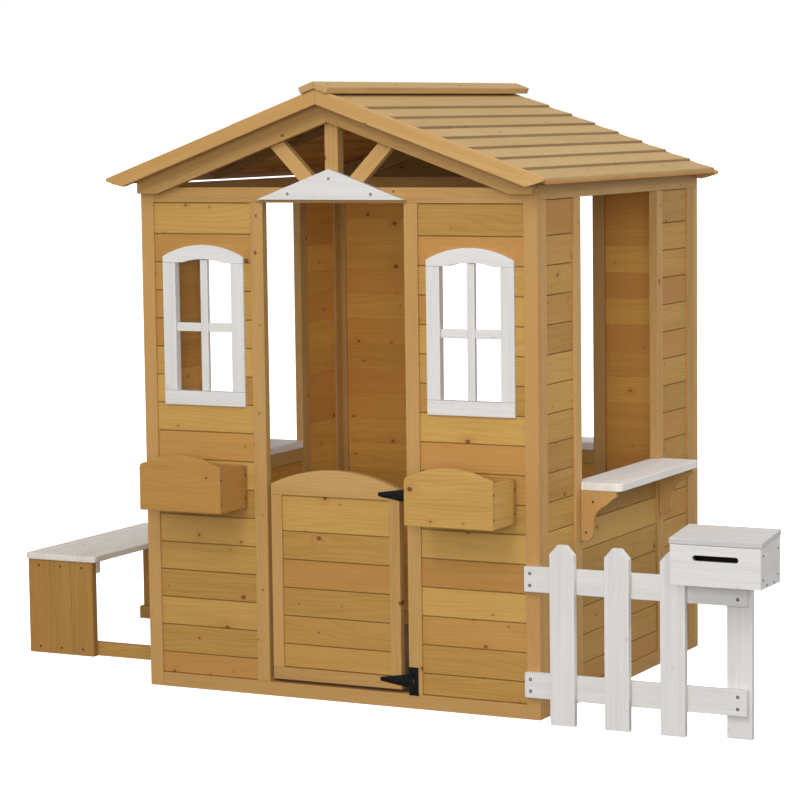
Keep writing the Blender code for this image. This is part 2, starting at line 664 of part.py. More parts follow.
# ---------------------------------------------------------------- bench and fence
def bench():
    radius = 0.015
    left, right = SEAT_X
    front, rear = SEAT_Y
    seat = corner(right - radius, rear - radius, radius, 0) + corner(left + radius, rear - radius, radius, 90)
    seat += corner(left + radius, front + radius, radius, 180)
    seat += corner(right - radius, front + radius, radius, 270)
    plate("bench_seat", [seat], "z", *SEAT_Z, WHITEWASH)
    top = SEAT_Z[0] - GAP
    cleat = CLEAT_BOTTOM
    third = (LEG_X[1] - LEG_X[0]) / 3
    for place, face, inward in (("front", LEG_FACES[0], 1), ("rear", LEG_FACES[1], -1)):
        back = face + inward * FRAME_THICK
        behind = back + inward * CLEAT_DEPTH
        side_view = [(face, 0.0), (back, 0.0), (back, cleat), (behind, cleat), (behind, top), (face, top)]
        leg = plate("bench_leg_" + place, [side_view], "x", *LEG_X, STAINED)
        for joint in (1, 2):
            seam = LEG_X[0] + joint * third
            outer = face - inward * 0.001
            groove = [(seam - GROOVE_WIDTH / 2, outer), (seam + GROOVE_WIDTH / 2, outer),
                      (seam, face + inward * GROOVE_DEPTH)]
            cut = outline_cutter("seam_%s_%d" % (place, joint), [groove], "z", -0.01, top + 0.01)
            boolean(leg, cut, "DIFFERENCE")
        rail = sorted((back + inward * GAP, back + inward * (GAP + FRAME_THICK)))
        board("bench_rail_" + place, (LEG_X[0], -HALF_WIDTH - GAP), rail, (0.0, STOCK), STAINED)


def fence():
    rail_y = (-FENCE_BOARD - GAP, -GAP)
    picket_y = (-2 * FENCE_BOARD - 2 * GAP, -FENCE_BOARD - 2 * GAP)
    for place, heights in FENCE_RAILS.items():
        board("fence_rail_" + place, FENCE_RAIL_X, rail_y, heights, WHITE)
    for number, (left, right) in PICKET_X.items():
        middle = (left + right) / 2
        outline = [(left, 0.0), (right, 0.0), (right, PICKET_SHOULDER),
                   (middle + PICKET_TIP_HALF, PICKET_TOP), (middle - PICKET_TIP_HALF, PICKET_TOP),
                   (left, PICKET_SHOULDER)]
        plate("fence_picket_" + number, [outline], "y", *picket_y, WHITE)
    board("fence_post", POST_X, (GAP, FENCE_BOARD + GAP), (0.0, POST_TOP), WHITE)


front_wall()
windows()
side_walls()
rear_wall()
brackets()
roof_deck()
bargeboards()
rafters()
rear_gable()
gable()
door()
hinges()
flower_boxes()
mailbox()
bench()
fence()
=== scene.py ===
"""Looks of the timber garden playhouse: every board, screw and hinge worked, around the CAD frame.

House coordinates, used throughout, start on the ground at the middle of the front wall's outer face: x to the
right, y towards the rear wall, z up, in metres. ORIGIN is that place in the frame.
"""

import json
import math
import random
import zlib

import bmesh
import bpy
from mathutils import Matrix, Vector


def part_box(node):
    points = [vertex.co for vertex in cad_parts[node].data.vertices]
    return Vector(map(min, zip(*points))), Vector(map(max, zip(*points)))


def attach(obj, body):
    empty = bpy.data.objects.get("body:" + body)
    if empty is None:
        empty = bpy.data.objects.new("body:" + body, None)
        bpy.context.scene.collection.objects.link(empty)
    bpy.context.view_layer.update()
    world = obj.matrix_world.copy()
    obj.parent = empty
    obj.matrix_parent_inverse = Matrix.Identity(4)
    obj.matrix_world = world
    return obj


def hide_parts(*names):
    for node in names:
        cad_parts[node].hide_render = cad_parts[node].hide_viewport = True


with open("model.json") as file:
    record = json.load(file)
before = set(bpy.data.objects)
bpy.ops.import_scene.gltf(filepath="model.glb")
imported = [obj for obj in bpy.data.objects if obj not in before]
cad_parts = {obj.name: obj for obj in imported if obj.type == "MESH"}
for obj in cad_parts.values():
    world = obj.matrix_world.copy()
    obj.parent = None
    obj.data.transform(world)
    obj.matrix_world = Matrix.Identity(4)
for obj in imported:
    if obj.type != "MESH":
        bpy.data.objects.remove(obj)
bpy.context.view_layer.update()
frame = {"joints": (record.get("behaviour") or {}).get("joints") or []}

# ---- places read from the frame
wall_low, wall_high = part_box("front_wall_frame")
ORIGIN = Vector(((wall_low.x + wall_high.x) / 2, wall_low.y, 0.0))


def house_box(node):
    """A CAD node's lowest and highest corner in house coordinates."""
    low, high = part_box(node)
    return low - ORIGIN, high - ORIGIN


HALF_WIDTH = (wall_high.x - wall_low.x) / 2
THICK = wall_high.y - wall_low.y
FRONT_TOP = wall_high.z
DEPTH = house_box("rear_wall_frame")[1].y
SIDE_TOP = house_box("right_wall_frame")[1].z
STOCK = 0.033  # width of the framing
BOARD_THICK = 0.009  # infill boards
SETBACK = 0.005  # from the frame's face to the infill's
PITCH = 0.065  # from joint to joint of the infill boards
GROOVE_TOP = 1.0564  # their uppermost joint
GROOVE = 0.0021  # bevel on either side of a joint
SLOPE = 0.358  # roof's fall for each metre from the ridge
UNDER = 1.355  # roof's underside at the ridge
GAP = 0.0003  # between pieces that touch
HAIR = 0.0002  # seam between boards that butt
TOUCH = 1e-5  # nearer than this is in the same plane
EASE = 0.0011  # width of a board's eased edges
SMOOTHED = 0.0014  # and of a trim board's


# ---- shader helpers
class Nodes:
    """Small helper that adds nodes to one material and wires them."""

    def __init__(self, mat):
        self.tree = mat.node_tree
        self.links = self.tree.links

    def add(self, kind, **settings):
        node = self.tree.nodes.new("ShaderNode" + kind)
        for key, value in settings.items():
            setattr(node, key, value)
        return node

    def plug(self, value, socket):
        if isinstance(value, bpy.types.NodeSocket):
            self.links.new(value, socket)
        else:
            socket.default_value = value

    def math(self, operation, first, second=0.0, third=0.0, clamp=False):
        node = self.add("Math", operation=operation, use_clamp=clamp)
        for value, socket in zip((first, second, third), node.inputs):
            self.plug(value, socket)
        return node.outputs[0]

    def times(self, first, second):
        return self.math("MULTIPLY", first, second)

    def about_half(self, value, amount):
        return self.times(self.math("SUBTRACT", value, 0.5), amount)

    def scaled(self, vector, factors):
        node = self.add("VectorMath", operation="MULTIPLY")
        self.plug(vector, node.inputs[0])
        node.inputs[1].default_value = factors
        return node.outputs[0]

    def noise(self, vector, scale=1.0, detail=2.0, roughness=0.5):
        node = self.add("TexNoise")
        values = {"Vector": vector, "Scale": scale, "Detail": detail, "Roughness": roughness}
        for key, value in values.items():
            self.plug(value, node.inputs[key])
        return node.outputs["Fac"]

    def ramp(self, value, low, high, to_low=0.0, to_high=1.0):
        node = self.add("MapRange", interpolation_type="SMOOTHSTEP")
        for socket, item in zip(node.inputs, (value, low, high, to_low, to_high)):
            self.plug(item, socket)
        return node.outputs[0]

    def mix(self, factor, first, second, blend="MIX"):
        node = self.add("Mix", data_type="RGBA", blend_type=blend)
        self.plug(factor, node.inputs["Factor"])
        for value, socket in ((first, node.inputs["A"]), (second, node.inputs["B"])):
            colour = [s for s in node.inputs if s.name == socket.name and s.type == "RGBA"][0]
            self.plug(value if isinstance(value, bpy.types.NodeSocket) else (*value, 1.0), colour)
        return [s for s in node.outputs if s.type == "RGBA"][0]

    def attribute(self, name, output):
        return self.add("Attribute", attribute_name=name).outputs[output]

    def bump(self, height, strength, distance):
        node = self.add("Bump")
        node.inputs["Strength"].default_value = strength
        node.inputs["Distance"].default_value = distance
        self.plug(height, node.inputs["Height"])
        return node.outputs["Normal"]


def new_material(name):
    mat = bpy.data.materials.new(name)
    mat.use_nodes = True
    return mat, Nodes(mat), mat.node_tree.nodes["Principled BSDF"]


def timber(name, pale, deep, ruddy, knot, paint=None, cover=0.0, rough=(0.55, 0.72), spread=0.5, knots=0.58,
           gloss=0.35, inside=(1.30, 1.17, 0.92)):
    """Softwood in board coordinates: x along the grain, y across the face, z through the thickness (metres).

    Growth rings bend round the knots, fibres run along the board, and each board has its own tone. A coat of
    paint of the given cover lies over it, thinner on edges and over the late wood. inside tints the faces
    that look into the cabin as painted light: warm painted bounce light on the walls, painted shade under the
    roof. A per-point attribute also paints shade into the colour: in the V-grooves, under the roof and, near
    black, inside the mailbox.
    """
    mat, n, shader = new_material(name)
    grain = n.attribute("grain", "Vector")
    tone, warmth, edge, painted_shading = (n.attribute(name, "Fac") for name in ("tone", "warmth", "edge", "painted_shading"))

    density = 9.5  # cells of the knots in a metre
    cells = n.add("TexVoronoi", voronoi_dimensions="2D", feature="F1")
    n.plug(n.scaled(grain, (1.0, 1.25, 1.0)), cells.inputs["Vector"])
    cells.inputs["Scale"].default_value = density
    away = n.math("DIVIDE", cells.outputs["Distance"], density)
    pick = n.add("SeparateColor")
    n.links.new(cells.outputs["Color"], pick.inputs[0])
    chosen = n.ramp(pick.outputs[1], 1.0 - knots, 1.02 - knots)
    size = n.math("MULTIPLY_ADD", n.math("POWER", pick.outputs[0], 2.2), 0.0056, 0.0021)
    wobble = n.noise(grain, 180.0, 1.0)
    away = n.math("MULTIPLY_ADD", wobble, 0.0016, n.math("SUBTRACT", away, 0.0008))
    ratio = n.math("DIVIDE", away, size)
    heart = n.times(n.ramp(ratio, 1.15, 0.65), chosen)
    halo = n.times(n.ramp(ratio, 4.6, 0.9), chosen)

    drift = n.noise(n.scaled(grain, (1.7, 11.0, 11.0)), 1.0, 2.0)
    split = n.add("SeparateXYZ")
    n.plug(grain, split.inputs[0])
    phase = n.math("MULTIPLY_ADD", split.outputs[1], 95.0, n.times(drift, 11.0))
    phase = n.math("MULTIPLY_ADD", halo, 1.3, phase)
    saw = n.math("FRACT", phase)
    rings = n.times(n.ramp(saw, 0.25, 0.92), n.ramp(saw, 1.0, 0.93))
    fibre = n.noise(n.scaled(grain, (9.0, 420.0, 420.0)), 1.0, 3.0, 0.6)
    streak = n.noise(n.scaled(grain, (2.2, 60.0, 60.0)), 1.0, 2.0)
    cloud = n.noise(n.scaled(grain, (4.0, 13.0, 13.0)), 1.0, 3.0)

    level = n.math("MULTIPLY_ADD", rings, 0.17, n.about_half(fibre, 0.42))
    level = n.math("ADD", level, n.about_half(streak, 0.55))
    level = n.math("ADD", level, n.about_half(cloud, 0.50))
    level = n.math("MULTIPLY_ADD", n.math("SUBTRACT", tone, 0.5), spread * 1.7, level)
    level = n.math("ADD", level, 0.30, clamp=True)
    colour = n.mix(level, pale, deep)
    colour = n.mix(n.times(n.ramp(warmth, 0.45, 1.0), 1.1 * spread), colour, ruddy)
    colour = n.mix(n.times(halo, 0.42), colour, ruddy)
    colour = n.mix(n.times(heart, 0.92), colour, knot)
    colour = n.mix(n.times(edge, 0.18), colour, deep)
    if paint:
        bare = 1.0 - cover
        coated = n.math("MULTIPLY_ADD", n.math("ADD", rings, fibre), -0.5 * bare, cover + bare * 0.5)
        coated = n.math("SUBTRACT", coated, n.times(edge, 0.05))
        coated = n.math("SUBTRACT", coated, n.times(heart, 0.22 * (1.3 - cover)), clamp=True)
        dirt = n.times(n.math("ADD", cloud, n.ramp(streak, 0.35, 0.75)), 0.5)
        coat = n.mix(dirt, paint, tuple(channel * 0.84 for channel in paint))
        colour = n.mix(coated, colour, coat)
    # Painted light and shade: faces that look into the cabin take the inside tint (painted bounce light on
    # the walls, painted shade on the roof's underside), painted shade darkens the V-grooves and the wood
    # under the roof, and near black is painted shade inside the mailbox.
    colour = n.mix(n.ramp(painted_shading, -0.2, -0.9), colour, n.scaled(colour, inside))
    painted_shade = n.ramp(painted_shading, 0.15, 1.0)
    colour = n.mix(n.times(painted_shade, 0.55), colour, tuple(channel * 0.12 for channel in deep))
    colour = n.mix(n.ramp(painted_shading, 1.3, 1.9, 0.0, 0.97), colour, (0.010, 0.009, 0.008))
    n.plug(colour, shader.inputs["Base Color"])

    sheen = n.math("ADD", n.times(fibre, 0.5), n.times(cloud, 0.5))
    n.plug(n.ramp(sheen, 0.3, 0.7, *rough), shader.inputs["Roughness"])
    relief = n.math("ADD", n.times(fibre, 0.7), n.times(rings, -0.35))
    relief = n.math("MULTIPLY_ADD", heart, 0.9, relief)
    n.plug(n.bump(relief, 0.35, 0.0009), shader.inputs["Normal"])
    n.plug(gloss, shader.inputs["Specular IOR Level"])
    return mat


def coated_steel(name, colour, rough, grain_scale, gloss=0.15):
    """Black coated steel: orange-peel bump, uneven gloss, worn paler spots."""
    mat, n, shader = new_material(name)
    coords = n.add("TexCoord").outputs["Object"]
    peel = n.noise(coords, grain_scale, 3.0)
    wear = n.noise(coords, 90.0, 4.0, 0.65)
    worn = tuple(min(1.0, channel * 2.6 + 0.01) for channel in colour)
    n.plug(n.mix(n.ramp(wear, 0.56, 0.74), colour, worn), shader.inputs["Base Color"])
    n.plug(n.ramp(wear, 0.3, 0.7, rough - 0.08, rough + 0.12), shader.inputs["Roughness"])
    n.plug(n.bump(peel, 0.25, 0.0003), shader.inputs["Normal"])
    n.plug(gloss, shader.inputs["Specular IOR Level"])
    return mat


CABIN_SHADE = (0.20, 0.17, 0.14)  # painted shade: colour of the floor under the cabin


def plain_floor():
    """Pale matt floor that glows white, except under the cabin, where it is painted dark as shade and does
    not glow.
    """
    mat, n, shader = new_material("pale_floor")
    coords = n.add("TexCoord").outputs["Object"]
    speckle = n.noise(coords, 40.0, 3.0)
    split = n.add("SeparateXYZ")
    n.plug(coords, split.inputs[0])
    covered = []
    for position, middle, reach in ((split.outputs[0], ORIGIN.x, HALF_WIDTH),
                                    (split.outputs[1], ORIGIN.y + DEPTH / 2, DEPTH / 2)):
        away = n.math("ABSOLUTE", n.math("SUBTRACT", position, middle))
        covered.append(n.ramp(away, reach - 0.75 * THICK, reach - 0.25 * THICK, 1.0, 0.0))
    # the cabin's footprint is painted shade
    clear = n.math("SUBTRACT", 1.0, n.times(*covered))
    pale = n.mix(speckle, (0.93, 0.93, 0.93), (0.95, 0.95, 0.95))
    n.plug(n.mix(clear, CABIN_SHADE, pale), shader.inputs["Base Color"])
    n.plug(clear, shader.inputs["Emission Strength"])
    n.plug((1.0, 1.0, 1.0, 1.0), shader.inputs["Emission Color"])
    n.plug(0.9, shader.inputs["Roughness"])
    n.plug(0.1, shader.inputs["Specular IOR Level"])
    return mat


# Each wood's pale, deep, ruddy and knot colours.
STAINED = timber("stained_timber", (0.59, 0.350, 0.090), (0.345, 0.173, 0.032), (0.45, 0.185, 0.045),
                 (0.115, 0.038, 0.009))
FRAMING = timber("framing_timber", (0.60, 0.365, 0.130), (0.39, 0.205, 0.055), (0.50, 0.265, 0.080),
                 (0.120, 0.042, 0.012), knots=0.40)
# The roof wood's paler, greyer colours are partly its own and partly a painted sheen of the studio light;
# inside gives its underside painted shade, darker and warmer.
ROOFING_PAINTED_SHEEN = timber("roof_timber", (0.58, 0.39, 0.165), (0.40, 0.24, 0.080), (0.46, 0.26, 0.090),
                 (0.12, 0.05, 0.02), rough=(0.50, 0.65), spread=0.3, knots=0.4, inside=(1.02, 0.73, 0.34))
PRIMED = ((0.70, 0.62, 0.50), (0.52, 0.44, 0.34), (0.55, 0.44, 0.33), (0.30, 0.22, 0.15))
SATIN = (0.42, 0.58)
WHITE = timber("white_timber", *PRIMED, paint=(0.755, 0.749, 0.741), cover=0.84, rough=SATIN, spread=0.15)
# The lid is the same white paint, painted greyer: painted shade for its top, which gets less light.
LID_PAINTED_SHADE = timber("lid_timber_painted_shade", *PRIMED, paint=(0.600, 0.584, 0.588), cover=0.84, rough=SATIN, spread=0.15)
# The counters' white paint is the mailbox's, painted brighter as painted light for the shade under the eaves;
# its thinner coat shows more grain.
COUNTER_PAINTED_LIGHT = timber("counter_timber_painted_light", (0.78, 0.68, 0.56), (0.58, 0.48, 0.38), (0.62, 0.50, 0.40),
                 (0.30, 0.20, 0.14), paint=(0.90, 0.89, 0.88), cover=0.74, rough=SATIN, spread=0.25)
WASHED = timber("whitewashed_timber", (0.72, 0.58, 0.42), (0.50, 0.36, 0.24), (0.56, 0.38, 0.26),
                (0.24, 0.14, 0.08), paint=(0.95, 0.935, 0.91), cover=0.66, rough=(0.50, 0.68), spread=0.3)
BLACK_STEEL = coated_steel("black_steel", (0.006, 0.006, 0.0065), 0.45, 1400.0)
SCREW_STEEL = coated_steel("screw_steel", (0.012, 0.010, 0.009), 0.65, 900.0, gloss=0.05)

AXES = {"x": Vector((1, 0, 0)), "y": Vector((0, 1, 0)), "z": Vector((0, 0, 1))}
SIDES = (("right", 1), ("left", -1))


# ---- boards
def lifted(axis, u, v, w):
    """The point (u, v) of the plane across axis, w along it."""
    return {"x": (w, u, v), "y": (u, w, v), "z": (u, v, w)}[axis]


def in_scene(name, data):
    obj = bpy.data.objects.new(name, data)
    bpy.context.scene.collection.objects.link(obj)
    return obj


class Piece:
    """One visible piece: a mesh made of one or more boards, each with its own grain, tone and eased edges."""

    def __init__(self, name, mat, node=None, tone=None, body="house"):
        """tone is 0 for the palest boards and 1 for the deepest; left out, each board gets its own."""
        self.name = name
        self.mat = mat
        self.tone = tone
        self.body = body
        self.node = node
        self.mesh = bmesh.new()
        self.random = random.Random(zlib.crc32(name.encode()))

    def _take(self, board, grain, across, smooth=False, painted_shading_at=None):
        """Give a finished board its attributes and add it to the piece."""
        depth = grain.cross(across)
        start = Vector([self.random.uniform(0.0, 40.0) for _ in range(3)])
        tone = self.random.betavariate(1.7, 1.7)
        if self.tone is not None:
            tone = self.tone + 0.2 * (tone - 0.5)
        warmth = self.random.random()
        layers = board.verts.layers
        grain_layer = layers.float_vector.new("grain")
        tone_layer, warmth_layer, edge_layer, painted_shading_layer = (
            layers.float.new(name) for name in ("tone", "warmth", "edge", "painted_shading"))
        board.normal_update()
        for vert in board.verts:
            point = vert.co
            vert[grain_layer] = Vector((point.dot(grain), point.dot(across), point.dot(depth))) + start
            vert[tone_layer] = tone
            vert[warmth_layer] = warmth
            vert[edge_layer] = 1.0 if len({f.normal.to_tuple(1) for f in vert.link_faces}) > 2 else 0.0
            # painted light and shade of this point, from the piece's shading test
            vert[painted_shading_layer] = float(painted_shading_at(point)) if painted_shading_at else 0.0
        if smooth:
            for face in board.faces:
                face.smooth = True
        scrap = bpy.data.meshes.new("scrap")
        board.to_mesh(scrap)
        board.free()
        self.mesh.from_mesh(scrap)
        bpy.data.meshes.remove(scrap)

    def box(self, x, y, z, grain, ease=EASE, painted_shading_at=None):
        """A straight board between two corners, with eased edges. Its painted shading is as for outline()."""
        board = bmesh.new()
        size = Vector((x[1] - x[0], y[1] - y[0], z[1] - z[0]))
        middle = Vector((sum(x) / 2, sum(y) / 2, sum(z) / 2))
        bmesh.ops.create_cube(board, size=1.0)
        bmesh.ops.scale(board, vec=size, verts=board.verts)
        ease = min(ease, min(size) * 0.3)
        bmesh.ops.bevel(board, geom=board.edges[:], offset=ease, segments=2, profile=0.6, affect="EDGES")
        order = sorted((a for a in "xyz" if a != grain), key=lambda a: size["xyz".index(a)])
        bmesh.ops.translate(board, vec=middle, verts=board.verts)
        self._take(board, AXES[grain], AXES[order[-1]], painted_shading_at=painted_shading_at)
        return self

    def outline(self, points, axis, low, high, grain, ease=EASE, only=None, segments=2, painted_shading_at=None):
        """A board cut to an outline in the plane across axis, with its rims eased.

        only(edge middle) picks the edges to ease, where not all are. The painted shading test, at a point,
        gives 1 for painted shade, in a V-groove or under the roof, 2 for painted near-black shade and -1 on a
        face that looks into the cabin, which takes the painted cabin light.
        """
        board = bmesh.new()
        verts = [board.verts.new(lifted(axis, u, v, low)) for u, v in points]
        face = board.faces.new(verts)
        grown = bmesh.ops.extrude_face_region(board, geom=[face])
        moved = [item for item in grown["geom"] if isinstance(item, bmesh.types.BMVert)]
        bmesh.ops.translate(board, vec=AXES[axis] * (high - low), verts=moved)
        bmesh.ops.recalc_face_normals(board, faces=board.faces[:])
        level = "xyz".index(axis)
        corner = 0.6  # radians; a curve's steps turn less
        chosen = []
        for edge in board.edges:
            first, second = edge.verts[0].co[level], edge.verts[1].co[level]
            on_face = abs(first - second) < 1e-6
            if on_face or edge.calc_face_angle(0.0) > corner:
                if only is None or only((edge.verts[0].co + edge.verts[1].co) / 2):
                    chosen.append(edge)
        if chosen:
            bmesh.ops.bevel(board, geom=chosen, offset=ease, segments=segments, profile=0.6, affect="EDGES",
                            clamp_overlap=True)
        grain = AXES[grain] if isinstance(grain, str) else grain.normalized()
        across = AXES[axis].cross(grain)
        if across.length < 0.5:
            sides = [Vector(lifted(axis, v[0] - u[0], v[1] - u[1], 0.0))
                     for u, v in zip(points, points[1:] + points[:1])]
            across = max(sides, key=lambda side: side.length).normalized()
        self._take(board, grain, across, painted_shading_at=painted_shading_at)

    def lathe(self, profile, at, direction, steps=16, spin=0.0):
        """A turned shape: profile of (radius, height) from the bottom centre to the top centre."""
        board = bmesh.new()
        rings = []
        for radius, height in profile:
            count = 1 if radius == 0.0 else steps
            rings.append([board.verts.new((radius * math.cos(2 * math.pi * k / steps),
                                           radius * math.sin(2 * math.pi * k / steps), height))
                          for k in range(count)])
        for lower, upper in zip(rings, rings[1:]):
            for k in range(steps):
                loop = [lower[k % len(lower)], lower[(k + 1) % len(lower)],
                        upper[(k + 1) % len(upper)], upper[k % len(upper)]]
                loop = [vert for i, vert in enumerate(loop) if vert not in loop[:i]]
                if len(loop) > 2:
                    board.faces.new(loop)
        bmesh.ops.recalc_face_normals(board, faces=board.faces[:])
        turn = Vector(direction).to_track_quat("Z", "Y").to_matrix().to_4x4() @ Matrix.Rotation(spin, 4, "Z")
        bmesh.ops.transform(board, matrix=Matrix.Translation(at) @ turn, verts=board.verts)
        self._take(board, AXES["x"], AXES["y"], smooth=True)

    def done(self):
        """Make the piece an object of its body, in the place of its CAD node."""
        bmesh.ops.translate(self.mesh, vec=ORIGIN, verts=self.mesh.verts)
        data = bpy.data.meshes.new(self.name)
        self.mesh.to_mesh(data)
        self.mesh.free()
        if any(polygon.use_smooth for polygon in data.polygons):
            data.set_sharp_from_angle(angle=math.radians(35))
        data.materials.append(self.mat)
        obj = in_scene(self.name, data)
        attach(obj, self.body)
        if self.node:
            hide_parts(self.node)


def cut(mat, node, points, axis, grain, ease, tone=None, body="house"):
    """One board cut to an outline, through its CAD node's depth on axis."""
    low, high = house_box(node)
    level = "xyz".index(axis)
    board = Piece(node + "_board", mat, node, tone, body)
    board.outline(points, axis, low[level], high[level], grain, ease)
    board.done()


def whole(mat, node, grain, ease=EASE):
    """One board that fills its CAD node's box, which is returned."""
    low, high = house_box(node)
    board = Piece(node + "_board", mat, node)
    board.box(*zip(low, high), grain, ease).done()
    return low, high


# ---- screws
screws = {body: Piece("screws_" + body, SCREW_STEEL, body=body) for body in ("house", "door")}


def screw(at, facing, body="house", radius=0.0029):
    """A countersunk screw head, standing just proud, with a round recess."""
    spin = screws[body].random.uniform(0.0, math.pi)
    head = [(0.0, -0.0010), (radius, -0.0010), (radius, 0.00012), (radius * 0.86, 0.00034),
            (radius * 0.46, 0.00042), (radius * 0.34, -0.0006), (0.0, -0.0007)]
    screws[body].lathe(head, Vector(at), facing, 14, spin)


# ---- walls
def levels(bottom, top):
    """Seam heights of the infill boards between two heights."""
    seams = []
    height = GROOVE_TOP
    while height > bottom + 0.004:
        if height < top - 0.003:
            seams.append(height)
        height -= PITCH
    return [bottom] + seams[::-1] + [top]


def v_joint(level, outer, near, far, inner):
    """The only and painted shading tests of outline(), for a board between two seams with its outer face at
    outer.

    The shading test paints shade into the V-grooves of the outer face and gives inner on the board's inner
    face.
    """
    def on_seam(place):
        return min(abs(place.z - near), abs(place.z - far)) < TOUCH

    def bevelled(middle):
        return on_seam(middle) and abs(middle[level] - outer) < TOUCH

    # Painted shade in the V-groove along each board's edge; inner is the painted value of the inner face.
    def painted_shading_at(point):
        if abs(point[level] - outer) > BOARD_THICK - TOUCH:
            return inner
        return on_seam(point) and abs(point[level] - outer) < GROOVE * 1.5

    return bevelled, painted_shading_at


def rectangle(left, right, bottom, top):
    return [(left, bottom), (right, bottom), (right, top), (left, top)]


def infill(name, axis, first, last, bottom, top, outer, inward, node, hole=None):
    """Horizontal V-jointed boards filling a bay.

    axis is the wall's thickness axis, outer the boards' outer face on it, inward the direction to the cabin.
    hole is (centre, half width, bottom, spring, crown) of an arched window.
    """
    piece = Piece(name, STAINED, node)
    low, high = sorted((outer, outer + inward * BOARD_THICK))
    seams = levels(bottom, top)
    grain = "x" if axis == "y" else "y"
    for floor_z, roof_z in zip(seams, seams[1:]):
        near, far = floor_z + HAIR / 2, roof_z - HAIR / 2
        # -1 gives the boards' inner faces the painted cabin light of the inside tint.
        bevelled, painted_shading_at = v_joint("xyz".index(axis), outer, near, far, -1)
        spans = [rectangle(first, last, near, far)]
        if hole and near < hole[4] and far > hole[2]:
            centre, half, sill, spring, crown = hole
            left, right = centre - half - HAIR, centre + half + HAIR
            if near >= sill and far <= spring:
                spans = [rectangle(first, left, near, far), rectangle(right, last, near, far)]
            elif far > spring:
                arch = arc(left, right, spring + HAIR, crown + HAIR, 14)[::-1]
                spans = [[(first, near), (left, near)] + arch
                         + [(right, near), (last, near), (last, far), (first, far)]]
            else:
                spans = [[(first, near), (last, near), (last, far), (right, far), (right, sill - HAIR),
                          (left, sill - HAIR), (left, far), (first, far)]]
        for span in spans:
            piece.outline(span, axis, low, high, grain, GROOVE, bevelled, 1, painted_shading_at)
    piece.done()


def arc(left, right, spring, crown, steps=12):
    """Points of a shallow arch from its right end to its left end."""
    half = (right - left) / 2
    rise = crown - spring
    radius = (half * half + rise * rise) / (2 * rise)
    sweep = math.asin(half / radius)
    turn = [sweep * (1 - 2 * step / steps) for step in range(steps + 1)]
    return [((left + right) / 2 + radius * math.sin(a), crown - radius + radius * math.cos(a)) for a in turn]


WINDOW_X = 0.338  # from the house's middle
WINDOW_HALF = 0.1065
WINDOW_BOTTOM = house_box("window_casing_right")[0].z
WINDOW_CROWN = house_box("window_casing_right")[1].z
WINDOW_SPRING = WINDOW_CROWN - 0.027
DOOR_HALF = 0.1785
FRONT_HEAD = FRONT_TOP - 0.0345
RAIL = 0.0325
REAR_OPENING = 0.230
REAR_JAMB = 0.262


def end_frame(end, y, opening, jamb):
    """The front or rear wall's stiles, jambs and rails. The jambs stand from opening to jamb."""
    inner = HALF_WIDTH - STOCK
    wall = Piece(end + "_wall_timbers", FRAMING, end + "_wall_frame")
    for sign in (-1, 1):
        wall.box(sorted((sign * inner, sign * HALF_WIDTH)), y, (0.0, FRONT_TOP), "z")
        wall.box(sorted((sign * opening, sign * jamb)), y, (RAIL + HAIR, FRONT_HEAD - HAIR), "z")
    for z in ((0.0, RAIL), (FRONT_HEAD, FRONT_TOP)):
        wall.box((-inner + HAIR, inner - HAIR), y, z, "x")
    return wall


def front_wall():
    jamb = DOOR_HALF + STOCK
    end_frame("front", (0.0, THICK), DOOR_HALF, jamb).done()
    for side, sign in (("left", -1), ("right", 1)):
        first, last = sorted((sign * (jamb + HAIR), sign * (HALF_WIDTH - STOCK - HAIR)))
        hole = (sign * WINDOW_X, WINDOW_HALF, WINDOW_BOTTOM, WINDOW_SPRING, WINDOW_CROWN)
        infill("front_boards_" + side, "y", first, last, RAIL + HAIR, FRONT_HEAD - HAIR, SETBACK, 1,
               "front_cladding_" + side, hole)
        window(side, sign * WINDOW_X)


def window(side, centre):
    """Casing of four members, an arched head over two jambs and a sill, and two crossing bars."""
    low, high = house_box("window_casing_" + side)
    depth = (low.y, high.y)
    half, inner = WINDOW_HALF, WINDOW_HALF - STOCK
    head_z = 0.990
    inner_spring, inner_crown = 0.984, 0.999
    bar_half = 0.0095
    bar_z = (0.833, 0.853)
    casing = Piece("window_casing_boards_" + side, WHITE, "window_casing_" + side)
    sill_top = WINDOW_BOTTOM + STOCK
    casing.box((centre - half, centre + half), depth, (WINDOW_BOTTOM, sill_top - HAIR), "x", SMOOTHED)
    for sign in (-1, 1):
        u = sorted((centre + sign * inner, centre + sign * half))
        casing.box(u, depth, (sill_top, head_z - HAIR), "z", SMOOTHED)
    head = [(centre - half, head_z), (centre - inner, head_z)]
    head += [point for point in arc(centre - inner, centre + inner, inner_spring, inner_crown, 14)[::-1]
             if point[1] > head_z + 0.0005]
    head += [(centre + inner, head_z), (centre + half, head_z)]
    head += arc(centre - half, centre + half, WINDOW_SPRING, WINDOW_CROWN, 18)
    casing.outline(head, "y", *depth, "x", SMOOTHED)
    casing.done()
    bars = Piece("window_bar_boards_" + side, WHITE, "window_bars_" + side)
    low, high = house_box("window_bars_" + side)
    bars.box((centre - bar_half, centre + bar_half), (low.y, high.y), (low.z, high.z), "z", SMOOTHED)
    for sign in (-1, 1):
        u = sorted((centre + sign * (bar_half + HAIR), centre + sign * (inner - HAIR)))
        bars.box(u, (low.y + 0.0004, high.y), bar_z, "x", SMOOTHED)
    bars.done()


# A side wall's bays between its posts, from the front.
FRONT_BAY = (0.050, 0.200)
OPENING = (0.236, 0.690)
REAR_BAY = (0.726, 0.890)


def from_front(along, sign):
    """The left wall is the right one turned round, so distances along it run from the rear."""
    return along if sign > 0 else DEPTH - along


